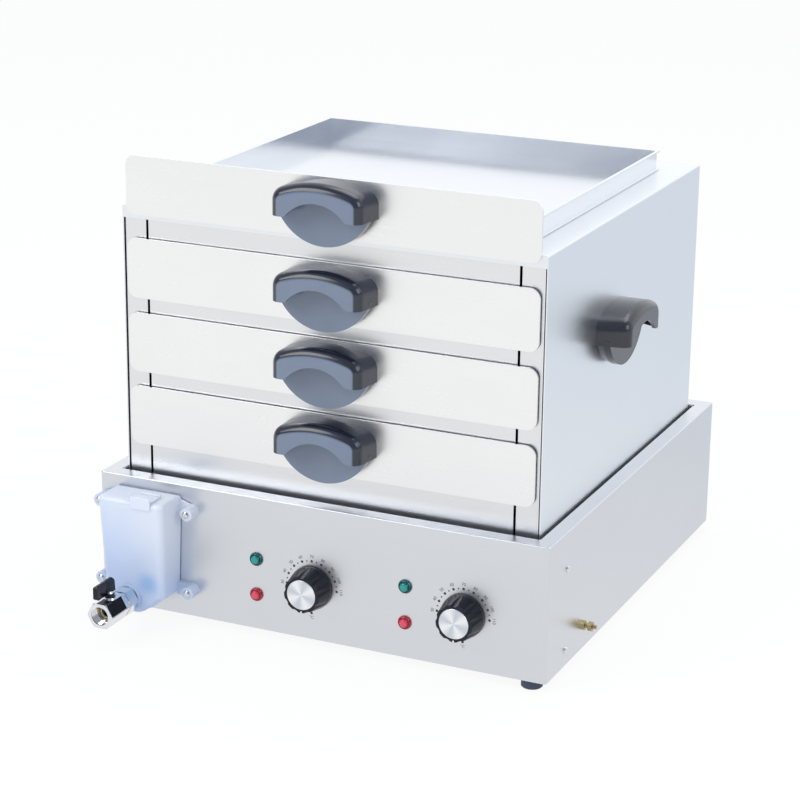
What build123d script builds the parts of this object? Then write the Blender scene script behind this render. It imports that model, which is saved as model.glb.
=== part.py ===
from build123d import *
import os
from math import atan, atan2, cos, degrees, sin, sqrt

# Rice noodle roll steamer: a heated water base, a three-drawer steam cabinet
# that stands in the well of the base, and a fourth tray on top of the cabinet.
# Millimetres. +Z is up and the drawers open towards -Y.

os.makedirs("parts", exist_ok=True)

# ---------------------------------------------------------------- base
FOOT_H = 10.0
FOOT_R = 10.5
FOOT_INSET_X = 19.0
FOOT_INSET_Y = 13.5
BASE_W = 480.0
BASE_D = 491.0
BASE_H = 137.0
SHEET = 1.2
BASE_CORNER_R = 2.0
BOTTOM_FLANGE = 32.0
COVER_SHEET = 1.0
VENT_L = 60.0
VENT_W = 5.0
VENT_X = 110.0
VENT_PITCH = 24.0
VENT_ROWS = 6
WELL_SIDE_RIM = 15.0
WELL_FRONT_RIM = 16.0
WELL_REAR_RIM = 18.5
LIP_H = 10.0
PAN_SHEET = 1.0
PAN_GAP = 0.2
PAN_DEPTH = 58.0
CABINET_SINK = 15.0
LEDGE_W = 18.0
LEDGE_H = 14.0
LEDGE_SHEET = 1.5

# ---------------------------------------------------------------- fits
RUNNING_FIT = 0.05
SCREW_FIT = 0.1
SEAT_GAP = 0.3

# ---------------------------------------------------------------- controls
DIAL_X = -5.0
DIAL_PITCH = 159.7
DIAL_RISE = 54.3
LAMP_SPACE = 60.2
LAMP_RISES = (73.2, 36.2)
LAMP_R = 5.9
LAMP_BEZEL = 1.1
LAMP_BODY_R = 4.0
LAMP_THREAD_L = 14.0
LAMP_LENGTH = 20.0
LENS_STEPS = ((5.4, 1.8), (4.6, 3.6), (2.6, 4.8), (0, 5.2))
KNOB_R = 22.0
KNOB_FRONT_R = 18.3
KNOB_GAP = 1.0
KNOB_H = 22.0
KNOB_SKIRT_H = 2.6
KNOB_WALL = 2.0
KNOB_SCALLOPS = 9
SCALLOP_R = 7.0
SCALLOP_DEPTH = 1.1
POINTER_W = 1.6
POINTER_DEPTH = 1.8
POINTER_L = 5.0
DISC_RIM = 3.2
DISC_T = 1.0
DISC_SINK = 0.6
DISC_EDGE = 0.4
SHAFT_GRIP = 16.0
SHAFT_IN = 9.0
SHAFT_R = 3.0
BUSH_WALL = 2.0
BUSH_OUT = 1.5
THERMOSTAT_W = 36.0
THERMOSTAT_D = 28.0
THERMOSTAT_CHAMFER = 4.0
TERMINAL_SPREAD = 9.0
TERMINAL_W = 6.0
TERMINAL_OUT = 8.0
TERMINAL_T = 0.8

# ---------------------------------------------------------------- heating
HEATER_R = 4.0
HEATER_X = 105.0
HEATER_LEG = 25.0
HEATER_RISE = 12.0
HEATER_FRONT_ROOM = 54.3
HEATER_REAR_ROOM = 46.8
HEATER_TAIL = 20.0
BUSHING_WALL = 2.0
BUSHING_LENGTH = 10.0
BUSHING_FLANGE = 3.0
BUSHING_FLANGE_T = 2.0
HEATER_NUT_FLATS = 17.0
HEATER_NUT_T = 5.0
SENSOR_RISE = 8.0
SENSOR_R = 3.0
SENSOR_LENGTH = 90.0
CAPILLARY_R = 1.2
CAPILLARY_BEND_R = 4.0
SENSOR_NUT_FLATS = 11.0
SENSOR_NUT_T = 4.0
SENSOR_OUT = 3.0

# ---------------------------------------------------------------- water tank and tap
TANK_FROM_SIDE = 55.5
TANK_TOP_W = 73.0
TANK_BOTTOM_W = 65.5
TANK_FOOT_W = 38.0
TANK_SHOULDER = 12.0
TANK_TOP_D = 39.5
TANK_BOTTOM_D = 34.0
TANK_LOW = 15.0
TANK_H = 112.0
TANK_WALL = 2.0
TANK_CORNER_R = 7.0
TANK_EDGE_R = 4.0
TANK_RELIEF = 1.0
BELLY_R = 20.5
BELLY_RISE = 28.0
EAR_OUT = 12.5
EAR_RISES = (29.0, 112.0)
EAR_R = 6.5
EAR_LENGTH = 14.5
EAR_TAB = 4.0
FLAP_W = 21.0
FLAP_D = 20.0
FLAP_OFFSET = 13.5
FLAP_T = 1.5
FLAP_LIP = 6.5
FLAP_GRIP = 4.5
HINGE_R = 1.6
HINGE_RISE = 2.2
HINGE_PIN_R = 0.8
LUG_W = 3.0
LUG_R = 1.5
TAP_OFFSET = -4.5
TAP_RISE = 24.0
TAP_FLATS = 24.8
TAP_BODY_L = 34.0
TAP_GROOVE = 3.0
TAP_NUT_L = 13.0
TAP_WASHER = 2.0
TANK_BOSS_R = 13.0
TANK_BOSS_H = 4.0
TAP_THREAD_R = 9.3
TAP_THREAD_L = 10.5
TAP_WEB = 1.2
TAP_BORE_R = 5.0
TAIL_R = 6.6
BALL_R = 8.0
BALL_GAP = 0.2
CAVITY_GAP = 0.7
SEAT_T = 4.0
STEM_R = 3.0
COLLAR_R = 5.5
COLLAR_H = 1.2
LEVER_GAP = 0.5
LEVER_T = 3.0
LEVER_BOSS_R = 4.6
WING_T = 5.2
WING_OFFSET = 2.3
WING_FRONT = 19.0
WING_BACK = 14.0
WING_TOP = 29.5
WING_SLANT = 4.0
WING_CHAMFER = 1.6
LEVER_SCREW_R = 1.2
LEVER_SCREW_L = 3.5
LEVER_SCREW_H = 2.0
LEVER_SCREW_HEAD_R = 3.6
TAIL_NUT_FLATS = 17.0
TAIL_NUT_T = 5.0
TAIL_IN = 8.0
TANG_W = 2.0
TANG_L = 5.0
TANG_SINK = 1.2
FITTING_R = 6.0
FITTING_BORE_R = 3.5
FITTING_FLATS = 17.0
FITTING_HEAD = 5.0
FITTING_NOSE_R = 6.5
FITTING_NOSE = 3.0
FITTING_IN = 13.0
FITTING_NUT_FLATS = 19.0
FITTING_NUT_T = 6.0
PIPE_R = 5.0
PIPE_RUN = 40.0
PIPE_BEND_R = 14.0
PIPE_UP = 2.0

# ---------------------------------------------------------------- cabinet
CABINET_GAP = 3.7
CABINET_FRONT_GAP = 6.6
CABINET_REAR_GAP = 12.3
HIGH_TRAY_ROOM = 90.9
TOP_FLANGE_H = 12.0
TOP_FLANGE_OUT = 0.4
POST_W = 24.1
POST_D = 22.0
POST_SETBACK = 1.2
POST_GAP = 1.5
POST_FLANGE = 9.0
SLOT = 2.6
RAIL_TAB_H = 12.0
MOUTH_GAP = 3.4
FASCIA_COVER = 5.0

# ---------------------------------------------------------------- trays
TRAY_PITCH = 75.0
LOW_FASCIA_RISE = 43.3
TOP_FASCIA_RISE = -7.9
FASCIA_SHY = 6.0
FASCIA_H = 60.0
TOP_FASCIA_H = 58.2
FASCIA_R = 10.0
FASCIA_PROUD = 2.9
FASCIA_HEM = 7.0
HEM_T = 1.0
RUNNER_ROOM = 30.05
TRAY_REAR_ROOM = 44.7
PAN_WALL_H = 20.0
PAN_RISE = 7.6
PAN_HEM = 2.5
RUNNER_SHEET = 1.0
RUNNER_GUIDE_GAP = 2.2
RUNNER_STEP = 12.0
RUNNER_SHELF = 12.0
RUNNER_SETBACK = 22.7

# ---------------------------------------------------------------- cup handles
HANDLE_X = 4.0
HANDLE_HALF_W = 50.0
HANDLE_TAPER = 4.4
HANDLE_DEPTH = 33.0
HOOD_APEX = 28.3
HOOD_TIP_APEX = 28.8
HOOD_ARCH_R = 110.0
HOOD_CORNER_R = 14.0
HOOD_FOOT = -5.0
HOOD_FRONT_R = 9.5
HOOD_WALL = 3.5
BOWL_R = 52.0
BOWL_Z = 18.0
BOWL_DEPTH = 14.0
BOWL_BEVEL = 2.5
BOWL_BEVEL_DEPTH = 7.0
ARCH_R = 38.75
ARCH_TOP = 10.5
ARCH_FILLET_R = 6.0
HANDLE_SCREW_X = 25.0
HANDLE_SCREW_Z = 4.2
HANDLE_SCREW_R = 2.0
HANDLE_SCREW_L = 9.0
SIDE_HANDLE_OFFSET = -36.9
SIDE_HANDLE_DROP = 113.2

# ---------------------------------------------------------------- fastenings
SCREW_R = 1.9
SCREW_HEAD_R = 3.6
SCREW_HEAD_H = 2.2
SIDE_SCREW_INSET = 48.5
SIDE_SCREW_RISES = (16.6, 99.5)
REAR_SCREW_INSET = 35.0
STUD_FROM_PANEL = 92.5
STUD_RISE = 25.8
STUD_R = 2.5
STUD_OUT = 15.5
STUD_TIP = 3.5
STUD_TIP_R = 2.0
GLAND_X = 150.0
GLAND_RISE = 50.0
GLAND_R = 8.0
GLAND_BORE_R = 4.0
GLAND_OUT = 12.5
GLAND_FLATS = 22.0
GLAND_HEX_T = 5.0
GLAND_CAP_R = 10.0
GLAND_CAP_BEVEL = 3.5
GLAND_IN = 11.0
GLAND_NUT_FLATS = 21.0
STUD_IN = 10.0
STUD_NUT_FLATS = 9.0
STUD_NUT_T = 4.0
STUD_NUT_OUT = 7.5
SHELL_SCREW_L = 8.0
BLOCK_FROM_REAR = 83.5
BLOCK_L = 64.0
BLOCK_W = 24.0
BLOCK_BASE_H = 8.0
BLOCK_H = 22.0
BLOCK_PITCH = 20.0
BLOCK_TOWER_L = 16.0
BLOCK_TOWER_W = 18.0
BLOCK_BORE_R = 3.0
BLOCK_BORE_DEPTH = 8.0

# ---------------------------------------------------------------- derived places
BASE_Z = FOOT_H
RIM_Z = BASE_Z + BASE_H
PANEL_Y = -BASE_D / 2
REAR_Y = BASE_D / 2
SIDE_X = BASE_W / 2
WELL_X = SIDE_X - WELL_SIDE_RIM
WELL_FRONT = PANEL_Y + WELL_FRONT_RIM
WELL_REAR = REAR_Y - WELL_REAR_RIM
PAN_X = WELL_X - PAN_GAP
PAN_FRONT = WELL_FRONT + PAN_GAP
PAN_BACK = WELL_REAR - PAN_GAP
PAN_Z = RIM_Z - PAN_DEPTH
PAN_FLOOR = PAN_Z + PAN_SHEET
CABINET_Z = RIM_Z - CABINET_SINK
CABINET_X = WELL_X - CABINET_GAP
CABINET_FRONT = WELL_FRONT + CABINET_FRONT_GAP
CABINET_REAR = WELL_REAR - CABINET_REAR_GAP
CABINET_TOP = CABINET_Z + LOW_FASCIA_RISE + 2 * TRAY_PITCH + HIGH_TRAY_ROOM
INNER_X = CABINET_X - SHEET
POST_FRONT = CABINET_FRONT + POST_SETBACK
POST_INNER_X = INNER_X - POST_W
RAIL_X = POST_INNER_X - SLOT
FLANGE_FRONT = CABINET_FRONT - TOP_FLANGE_OUT
FLANGE_LOW = CABINET_TOP - TOP_FLANGE_H
HEATER_FRONT = PAN_FRONT + HEATER_FRONT_ROOM
HEATER_REAR = PAN_BACK - HEATER_REAR_ROOM
BUSHING_R = HEATER_R + BUSHING_WALL
LAMP_BEZEL_R = LAMP_R + LAMP_BEZEL
DISC_R = KNOB_FRONT_R - DISC_RIM
BUSH_R = SHAFT_R + BUSH_WALL
FASCIA_W = 2 * (CABINET_X - FASCIA_SHY)
FASCIA_FRONT = CABINET_FRONT - FASCIA_PROUD
PAN_W = 2 * (CABINET_X - RUNNER_ROOM)
PAN_REAR = CABINET_REAR - TRAY_REAR_ROOM
RUNNER_FRONT = POST_FRONT + RUNNER_SETBACK
RAIL_FACE_RISE = PAN_RISE + PAN_WALL_H + MOUTH_GAP
HANDLE_TIP_HALF_W = HANDLE_HALF_W - HANDLE_TAPER
SIDE_SCREW_Y = PANEL_Y + SIDE_SCREW_INSET
REAR_SCREW_X = SIDE_X - REAR_SCREW_INSET
STUD_Y = PANEL_Y + STUD_FROM_PANEL
TANK_X = TANK_FROM_SIDE - SIDE_X
EAR_X = TANK_TOP_W / 2 + EAR_OUT
FLAP_X = TANK_X + FLAP_OFFSET
TAP_X = TANK_X + TAP_OFFSET
CAVITY_R = BALL_R + CAVITY_GAP
DIAL_Z = BASE_Z + DIAL_RISE
DIAL_XS = (DIAL_X, DIAL_X + DIAL_PITCH)
TANK_BACK = PANEL_Y - TANK_RELIEF
TANK_Z = BASE_Z + TANK_LOW
TANK_TOP = TANK_Z + TANK_H
BELLY_Z = BASE_Z + BELLY_RISE
TAP_Z = BASE_Z + TAP_RISE
TANK_TAPER = (TANK_TOP_D - TANK_BOTTOM_D) / TANK_H
TANK_WALL_Y = TANK_BACK - TANK_BOTTOM_D - TANK_TAPER * (TAP_Z - TANK_Z)
BOSS_Y = TANK_WALL_Y - TANK_BOSS_H
TAP_NUT_Y = BOSS_Y - TAP_WASHER
TAP_BACK = TAP_NUT_Y - TAP_NUT_L - TAP_GROOVE
TAP_FRONT = TAP_BACK - TAP_BODY_L
CAVITY_Y = TAP_FRONT + TAP_THREAD_L + TAP_WEB
BALL_Y = CAVITY_Y + BALL_R + BALL_GAP
GLAND_END = REAR_Y + GLAND_OUT
PIPE_Y = PANEL_Y + PIPE_RUN
SIDE_HANDLE_Y = (CABINET_FRONT + CABINET_REAR) / 2 + SIDE_HANDLE_OFFSET
SIDE_HANDLE_Z = CABINET_TOP - SIDE_HANDLE_DROP
SHIFT_Y = -(TAP_FRONT + GLAND_END) / 2
TRAYS = {
    "low": CABINET_Z + LOW_FASCIA_RISE,
    "mid": CABINET_Z + LOW_FASCIA_RISE + TRAY_PITCH,
    "high": CABINET_Z + LOW_FASCIA_RISE + 2 * TRAY_PITCH,
    "top": CABINET_TOP + TOP_FASCIA_RISE,
}
BEHIND = (0, 1, 0)
FORWARD = (0, -1, 0)
RIGHT = (1, 0, 0)
LEFT = (-1, 0, 0)
UP = (0, 0, 1)

nodes = {}


def add(name, *shapes):
    """Files one node's solids under its name."""
    nodes.setdefault(name, []).extend(s for shape in shapes for s in shape.solids())


def block(x, y, z):
    """A box between two limits along each axis."""
    centre = [(pair[0] + pair[1]) / 2 for pair in (x, y, z)]
    return Pos(*centre) * Box(*[abs(pair[1] - pair[0]) for pair in (x, y, z)])


def rod(start, axis, radius, length):
    """A round bar from a point along an axis."""
    base = (Align.CENTER, Align.CENTER, Align.MIN)
    return Plane(origin=start, z_dir=axis) * Cylinder(radius, length, align=base)


def turned(outline, start, axis):
    """A turned piece from (radius, height) points, its foot at start."""
    face = make_face(Plane.XZ * Polyline(*outline, close=True))
    return Plane(origin=start, z_dir=axis) * revolve(face, Axis.Z)


def hexagon(start, axis, flats, length, turn=0):
    """A hexagonal bar, measured across its flats."""
    form = extrude(RegularPolygon(flats / 2, 6, major_radius=False, rotation=turn), length)
    return Plane(origin=start, z_dir=axis) * form


def pan_head(seat, axis, radius, length):
    """A pan-head screw: the head stands on its seat and the shank runs along the axis."""
    head = SCREW_HEAD_R * radius / SCREW_R
    rise = SCREW_HEAD_H * radius / SCREW_R
    outline = [(0, -rise), (head * 0.6, -rise), (head, -rise * 0.45), (head, 0)]
    outline += [(radius, 0), (radius, length), (0, length)]
    return turned(outline, seat, axis)


def facing(depth):
    """The front-facing plane at a depth in front of y = 0."""
    return Plane.XZ.offset(depth)


# ---------------------------------------------------------------- base
def base_shell():
    shell = block((-SIDE_X, SIDE_X), (PANEL_Y, REAR_Y), (BASE_Z, RIM_Z))
    shell = fillet(shell.edges().filter_by(Axis.Z), BASE_CORNER_R)
    shell = fillet(shell.edges().group_by(Axis.Z)[-1], SHEET)
    inside = (-SIDE_X + SHEET, SIDE_X - SHEET), (PANEL_Y + SHEET, REAR_Y - SHEET)
    shell -= block(*inside, (BASE_Z + SHEET, RIM_Z - SHEET))
    flange = BOTTOM_FLANGE
    shell -= block(
        (-SIDE_X + flange, SIDE_X - flange), (PANEL_Y + flange, REAR_Y - flange), (0, RIM_Z / 2)
    )
    lip = block(
        (-WELL_X - SHEET, WELL_X + SHEET),
        (WELL_FRONT - SHEET, WELL_REAR + SHEET),
        (RIM_Z - LIP_H, RIM_Z - SHEET / 2),
    )
    shell += lip
    shell -= block((-WELL_X, WELL_X), (WELL_FRONT, WELL_REAR), (RIM_Z - 2 * LIP_H, RIM_Z + 1))
    through = 2 * SHEET
    for x in DIAL_XS:
        shell -= rod((x, PANEL_Y - SHEET, DIAL_Z), BEHIND, BUSH_R + SCREW_FIT, 2 * through)
        for rise in LAMP_RISES:
            lamp = (x - LAMP_SPACE, PANEL_Y - SHEET, BASE_Z + rise)
            shell -= rod(lamp, BEHIND, LAMP_R + SCREW_FIT, 2 * through)
    for x, z in ear_places():
        shell -= rod((x, PANEL_Y - SHEET, z), BEHIND, SCREW_R + SCREW_FIT, 2 * through)
    shell -= rod((TANK_X, PANEL_Y - SHEET, BELLY_Z), BEHIND, FITTING_R + SCREW_FIT, 2 * through)
    for seat, axis in shell_screw_places():
        start = tuple(s - SHEET * a for s, a in zip(seat, axis))
        shell -= rod(start, axis, SCREW_R + SCREW_FIT, 2 * through)
    stud = (SIDE_X - 2 * SHEET, STUD_Y, BASE_Z + STUD_RISE)
    shell -= rod(stud, RIGHT, STUD_R + SCREW_FIT, 2 * through)
    gland = (GLAND_X, REAR_Y - 2 * SHEET, BASE_Z + GLAND_RISE)
    shell -= rod(gland, BEHIND, GLAND_R + SCREW_FIT, 2 * through)
    for x, y in foot_places():
        shell -= rod((x, y, BASE_Z - SHEET), UP, SCREW_R + SCREW_FIT, 2 * through)
    return shell


def foot_places():
    x = SIDE_X - FOOT_INSET_X
    y = REAR_Y - FOOT_INSET_Y
    return [(sx * x, sy * y) for sx in (-1, 1) for sy in (-1, 1)]


def ear_places():
    return [(TANK_X + side * EAR_X, BASE_Z + z) for side in (-1, 1) for z in EAR_RISES]


def shell_screw_places():
    places = []
    for rise in SIDE_SCREW_RISES:
        places.append(((SIDE_X, SIDE_SCREW_Y, BASE_Z + rise), LEFT))
        places.append(((-SIDE_X, SIDE_SCREW_Y, BASE_Z + rise), RIGHT))
        for side in (-1, 1):
            places.append(((side * REAR_SCREW_X, REAR_Y, BASE_Z + rise), FORWARD))
    return places


def heater_legs(side):
    return [(side * HEATER_X + leg * HEATER_LEG, HEATER_FRONT) for leg in (-1, 1)]


def water_pan():
    pan = block((-PAN_X, PAN_X), (PAN_FRONT, PAN_BACK), (PAN_Z, RIM_Z - SHEET / 2))
    pan = fillet(pan.edges().filter_by(Axis.Z), 2 * BASE_CORNER_R)
    room = block(
        (-PAN_X + PAN_SHEET, PAN_X - PAN_SHEET),
        (PAN_FRONT + PAN_SHEET, PAN_BACK - PAN_SHEET),
        (PAN_FLOOR, RIM_Z + 1),
    )
    pan -= fillet(room.edges().filter_by(Axis.Z), 2 * BASE_CORNER_R - PAN_SHEET)
    for side in (-1, 1):
        for x, y in heater_legs(side):
            pan -= rod((x, y, PAN_Z - 1), UP, BUSHING_R + SCREW_FIT, PAN_SHEET + 2)
    pan -= rod((TANK_X, PIPE_Y, PAN_Z - 1), UP, PIPE_R + SCREW_FIT, PAN_SHEET + 2)
    for x in DIAL_XS:
        hole = (x, PAN_FRONT - 1, PAN_FLOOR + SENSOR_RISE)
        pan -= rod(hole, BEHIND, SENSOR_R + SCREW_FIT, PAN_SHEET + 2)
    return pan


def pan_ledges():
    wall = PAN_X - PAN_SHEET
    top = CABINET_Z - SEAT_GAP
    run = (PAN_FRONT + LEDGE_H, PAN_BACK - LEDGE_H)
    for side in (-1, 1):
        shelf = block((side * wall, side * (wall - LEDGE_W)), run, (top - LEDGE_SHEET, top))
        leg = block((side * wall, side * (wall - LEDGE_SHEET)), run, (top - LEDGE_H, top))
        add("pan_ledges", shelf + leg)


def bottom_cover():
    margin = SHEET + 2 * SEAT_GAP
    low = BASE_Z + SHEET
    cover = block(
        (-SIDE_X + margin, SIDE_X - margin),
        (PANEL_Y + margin, REAR_Y - margin),
        (low, low + COVER_SHEET),
    )
    slot = extrude(SlotOverall(VENT_L, VENT_W), 4 * COVER_SHEET, both=True)
    first = -(VENT_ROWS - 1) * VENT_PITCH / 2
    for side in (-1, 1):
        for step in range(VENT_ROWS):
            cover -= Pos(side * VENT_X, first + step * VENT_PITCH, low) * slot
    for x, y in foot_places():
        cover -= rod((x, y, low - 1), UP, SCREW_R + SCREW_FIT, COVER_SHEET + 2)
    return cover


def feet():
    bore = SCREW_R + SCREW_FIT
    seat = FOOT_H / 2
    outline = [(bore, FOOT_H), (FOOT_R, FOOT_H), (FOOT_R, 1), (FOOT_R - 1, 0)]
    outline += [(FOOT_R / 2, 0), (FOOT_R / 2, seat), (bore, seat)]
    for x, y in foot_places():
        add("feet", turned(outline, (x, y, 0), UP))
        add("shell_screws", pan_head((x, y, seat), UP, SCREW_R, FOOT_H))


def heaters():
    z = PAN_FLOOR + HEATER_RISE
    tail = PAN_Z - HEATER_TAIL
    for name, side in (("left", -1), ("right", 1)):
        (x0, y0), (x1, _) = heater_legs(side)
        points = [(x0, y0, tail), (x0, y0, z), (x0, HEATER_REAR, z)]
        points += [(x1, HEATER_REAR, z), (x1, y0, z), (x1, y0, tail)]
        bend = HEATER_LEG - 1
        path = FilletPolyline(*points, radius=(HEATER_RISE, bend, bend, HEATER_RISE))
        tube = sweep(Plane(origin=path @ 0, z_dir=path % 0) * Circle(HEATER_R), path=path)
        for x, y in heater_legs(side):
            tube += rod((x, y, PAN_FLOOR), UP, BUSHING_R + BUSHING_FLANGE, BUSHING_FLANGE_T)
            low = PAN_FLOOR - BUSHING_LENGTH
            tube += rod((x, y, low), UP, BUSHING_R, BUSHING_LENGTH + BUSHING_FLANGE_T / 2)
            nut = hexagon((x, y, PAN_Z - HEATER_NUT_T), UP, HEATER_NUT_FLATS, HEATER_NUT_T)
            add("heater_nuts", nut - rod((x, y, low), UP, BUSHING_R + SCREW_FIT, BUSHING_LENGTH))
        add("heater_" + name, tube)


def thermostats():
    inner = PANEL_Y + SHEET
    half = THERMOSTAT_W / 2
    for name, x in zip(("left", "right"), DIAL_XS):
        body = block(
            (x - half, x + half), (inner, inner + THERMOSTAT_D), (DIAL_Z - half, DIAL_Z + half)
        )
        body = chamfer(body.edges().filter_by(Axis.Y), THERMOSTAT_CHAMFER)
        body += rod((x, PANEL_Y - BUSH_OUT, DIAL_Z), BEHIND, BUSH_R, SHEET + 2 * BUSH_OUT)
        rear = inner + THERMOSTAT_D
        for side in (-1, 1):
            middle = x + side * TERMINAL_SPREAD
            body += block(
                (middle - TERMINAL_W / 2, middle + TERMINAL_W / 2),
                (rear - 1, rear + TERMINAL_OUT),
                (DIAL_Z - TERMINAL_T / 2, DIAL_Z + TERMINAL_T / 2),
            )
        bore = SHAFT_IN + 2 * BUSH_OUT
        body -= rod((x, PANEL_Y - 2 * BUSH_OUT, DIAL_Z), BEHIND, SHAFT_R + RUNNING_FIT, bore + SEAT_GAP)
        add("thermostat_" + name, body)
        sensor(x, DIAL_Z + half)


def sensor(x, thermostat_top):
    """A bulb through the front wall of the well, its capillary down to the thermostat."""
    z = PAN_FLOOR + SENSOR_RISE
    wall = PAN_FRONT + PAN_SHEET
    bulb = rod((x, PAN_FRONT - SENSOR_OUT, z), BEHIND, SENSOR_R, SENSOR_LENGTH)
    bulb += hexagon((x, wall, z), BEHIND, SENSOR_NUT_FLATS, SENSOR_NUT_T)
    bulb += hexagon((x, PAN_FRONT - SENSOR_NUT_T, z), BEHIND, SENSOR_NUT_FLATS, SENSOR_NUT_T)
    turn = (PANEL_Y + SHEET + PAN_FRONT) / 2
    points = [(x, PAN_FRONT - SENSOR_OUT, z), (x, turn, z), (x, turn, thermostat_top)]
    path = FilletPolyline(*points, radius=CAPILLARY_BEND_R)
    section = Plane(origin=path @ 0, z_dir=path % 0) * Circle(CAPILLARY_R)
    add("sensor_bulbs", bulb + sweep(section, path=path))


def lamps():
    outline = [(0, -LAMP_LENGTH), (LAMP_BODY_R, -LAMP_LENGTH), (LAMP_BODY_R, -LAMP_THREAD_L)]
    outline += [(LAMP_R, -LAMP_THREAD_L), (LAMP_R, 0), (LAMP_BEZEL_R, 0), (LAMP_BEZEL_R, 1)]
    outline += [(LAMP_BEZEL_R - 0.8, LENS_STEPS[0][1]), *LENS_STEPS]
    for x in DIAL_XS:
        for name, rise in zip(("green_lamps", "red_lamps"), LAMP_RISES):
            add(name, turned(outline, (x - LAMP_SPACE, PANEL_Y, BASE_Z + rise), FORWARD))


def supply():
    """Terminal block, cable gland, bonding stud and the screws that close the shell."""
    low = BASE_Z + SHEET + COVER_SHEET
    y = REAR_Y - BLOCK_FROM_REAR
    reach = BLOCK_L / 2
    width = (y - BLOCK_W / 2, y + BLOCK_W / 2)
    rail = block((GLAND_X - reach, GLAND_X + reach), width, (low, low + BLOCK_BASE_H))
    for step in (-1, 0, 1):
        x = GLAND_X + step * BLOCK_PITCH
        across = (x - BLOCK_TOWER_L / 2, x + BLOCK_TOWER_L / 2)
        deep = (y - BLOCK_TOWER_W / 2, y + BLOCK_TOWER_W / 2)
        tower = block(across, deep, (low + BLOCK_BASE_H, low + BLOCK_H))
        rail += tower - rod((x, y, low + BLOCK_H - BLOCK_BORE_DEPTH), UP, BLOCK_BORE_R, BLOCK_H)
    add("terminal_block", rail)

    seat = (GLAND_X, REAR_Y, BASE_Z + GLAND_RISE)
    gland = hexagon(seat, BEHIND, GLAND_FLATS, GLAND_HEX_T)
    crown = [(0, GLAND_HEX_T), (GLAND_CAP_R, GLAND_HEX_T), (GLAND_CAP_R, GLAND_OUT - GLAND_CAP_BEVEL)]
    crown += [(GLAND_R - 1, GLAND_OUT), (0, GLAND_OUT)]
    gland += turned(crown, seat, BEHIND)
    gland += rod(seat, FORWARD, GLAND_R, GLAND_IN)
    gland -= rod((GLAND_X, REAR_Y - 20, seat[2]), BEHIND, GLAND_BORE_R, 40)
    add("cable_gland", gland)
    inner = (GLAND_X, REAR_Y - SHEET, seat[2])
    nut = hexagon(inner, FORWARD, GLAND_NUT_FLATS, GLAND_HEX_T)
    add("cable_gland", nut - rod(inner, FORWARD, GLAND_R + SCREW_FIT, GLAND_HEX_T + 1))

    stud_z = BASE_Z + STUD_RISE
    stud = rod((SIDE_X - STUD_IN, STUD_Y, stud_z), RIGHT, STUD_R, STUD_IN + STUD_OUT - STUD_TIP)
    tip = (SIDE_X + STUD_OUT - STUD_TIP, STUD_Y, stud_z)
    add("bonding_stud", stud + rod(tip, RIGHT, STUD_TIP_R, STUD_TIP))
    for x in (SIDE_X - SHEET - STUD_NUT_T, SIDE_X, SIDE_X + STUD_NUT_OUT):
        nut = hexagon((x, STUD_Y, stud_z), RIGHT, STUD_NUT_FLATS, STUD_NUT_T)
        nut -= rod((x - 1, STUD_Y, stud_z), RIGHT, STUD_R + RUNNING_FIT, STUD_NUT_T + 2)
        add("bonding_stud", nut)
    for place, axis in shell_screw_places():
        add("shell_screws", pan_head(place, axis, SCREW_R, SHELL_SCREW_L))


# ---------------------------------------------------------------- water tank
def tank_half_width(z):
    share = (z - TANK_Z) / TANK_H
    return (TANK_BOTTOM_W + (TANK_TOP_W - TANK_BOTTOM_W) * share) / 2


def tank_form(inset):
    """The tapered tank on its hopper and round belly, drawn in by the wall for the cavity."""
    shoulder_z = TANK_Z + TANK_SHOULDER
    sections = []
    for z, w, d in (
        (TANK_Z + inset, TANK_FOOT_W, TANK_BOTTOM_D),
        (shoulder_z, 2 * tank_half_width(shoulder_z), TANK_BOTTOM_D),
        (TANK_TOP - inset, TANK_TOP_W, TANK_TOP_D),
    ):
        across = w - 2 * inset
        deep = d - 2 * inset
        plane = Plane(origin=(TANK_X, TANK_BACK - d / 2, z))
        back_half = Pos(0, deep / 4) * Rectangle(across, deep / 2)
        sections.append(plane * (RectangleRounded(across, deep, TANK_CORNER_R - inset) + back_half))
    form = loft(sections, ruled=True)
    form = fillet(form.edges().group_by(Axis.Z)[-1], TANK_EDGE_R - inset)
    depth = TANK_BOTTOM_D - 2 * inset
    start = (TANK_X, TANK_BACK - inset, BELLY_Z)
    belly = rod(start, FORWARD, BELLY_R - inset, depth)
    return form + fillet(belly.edges().group_by(Axis.Y)[0], TANK_EDGE_R - inset * 3 / 4)


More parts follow.
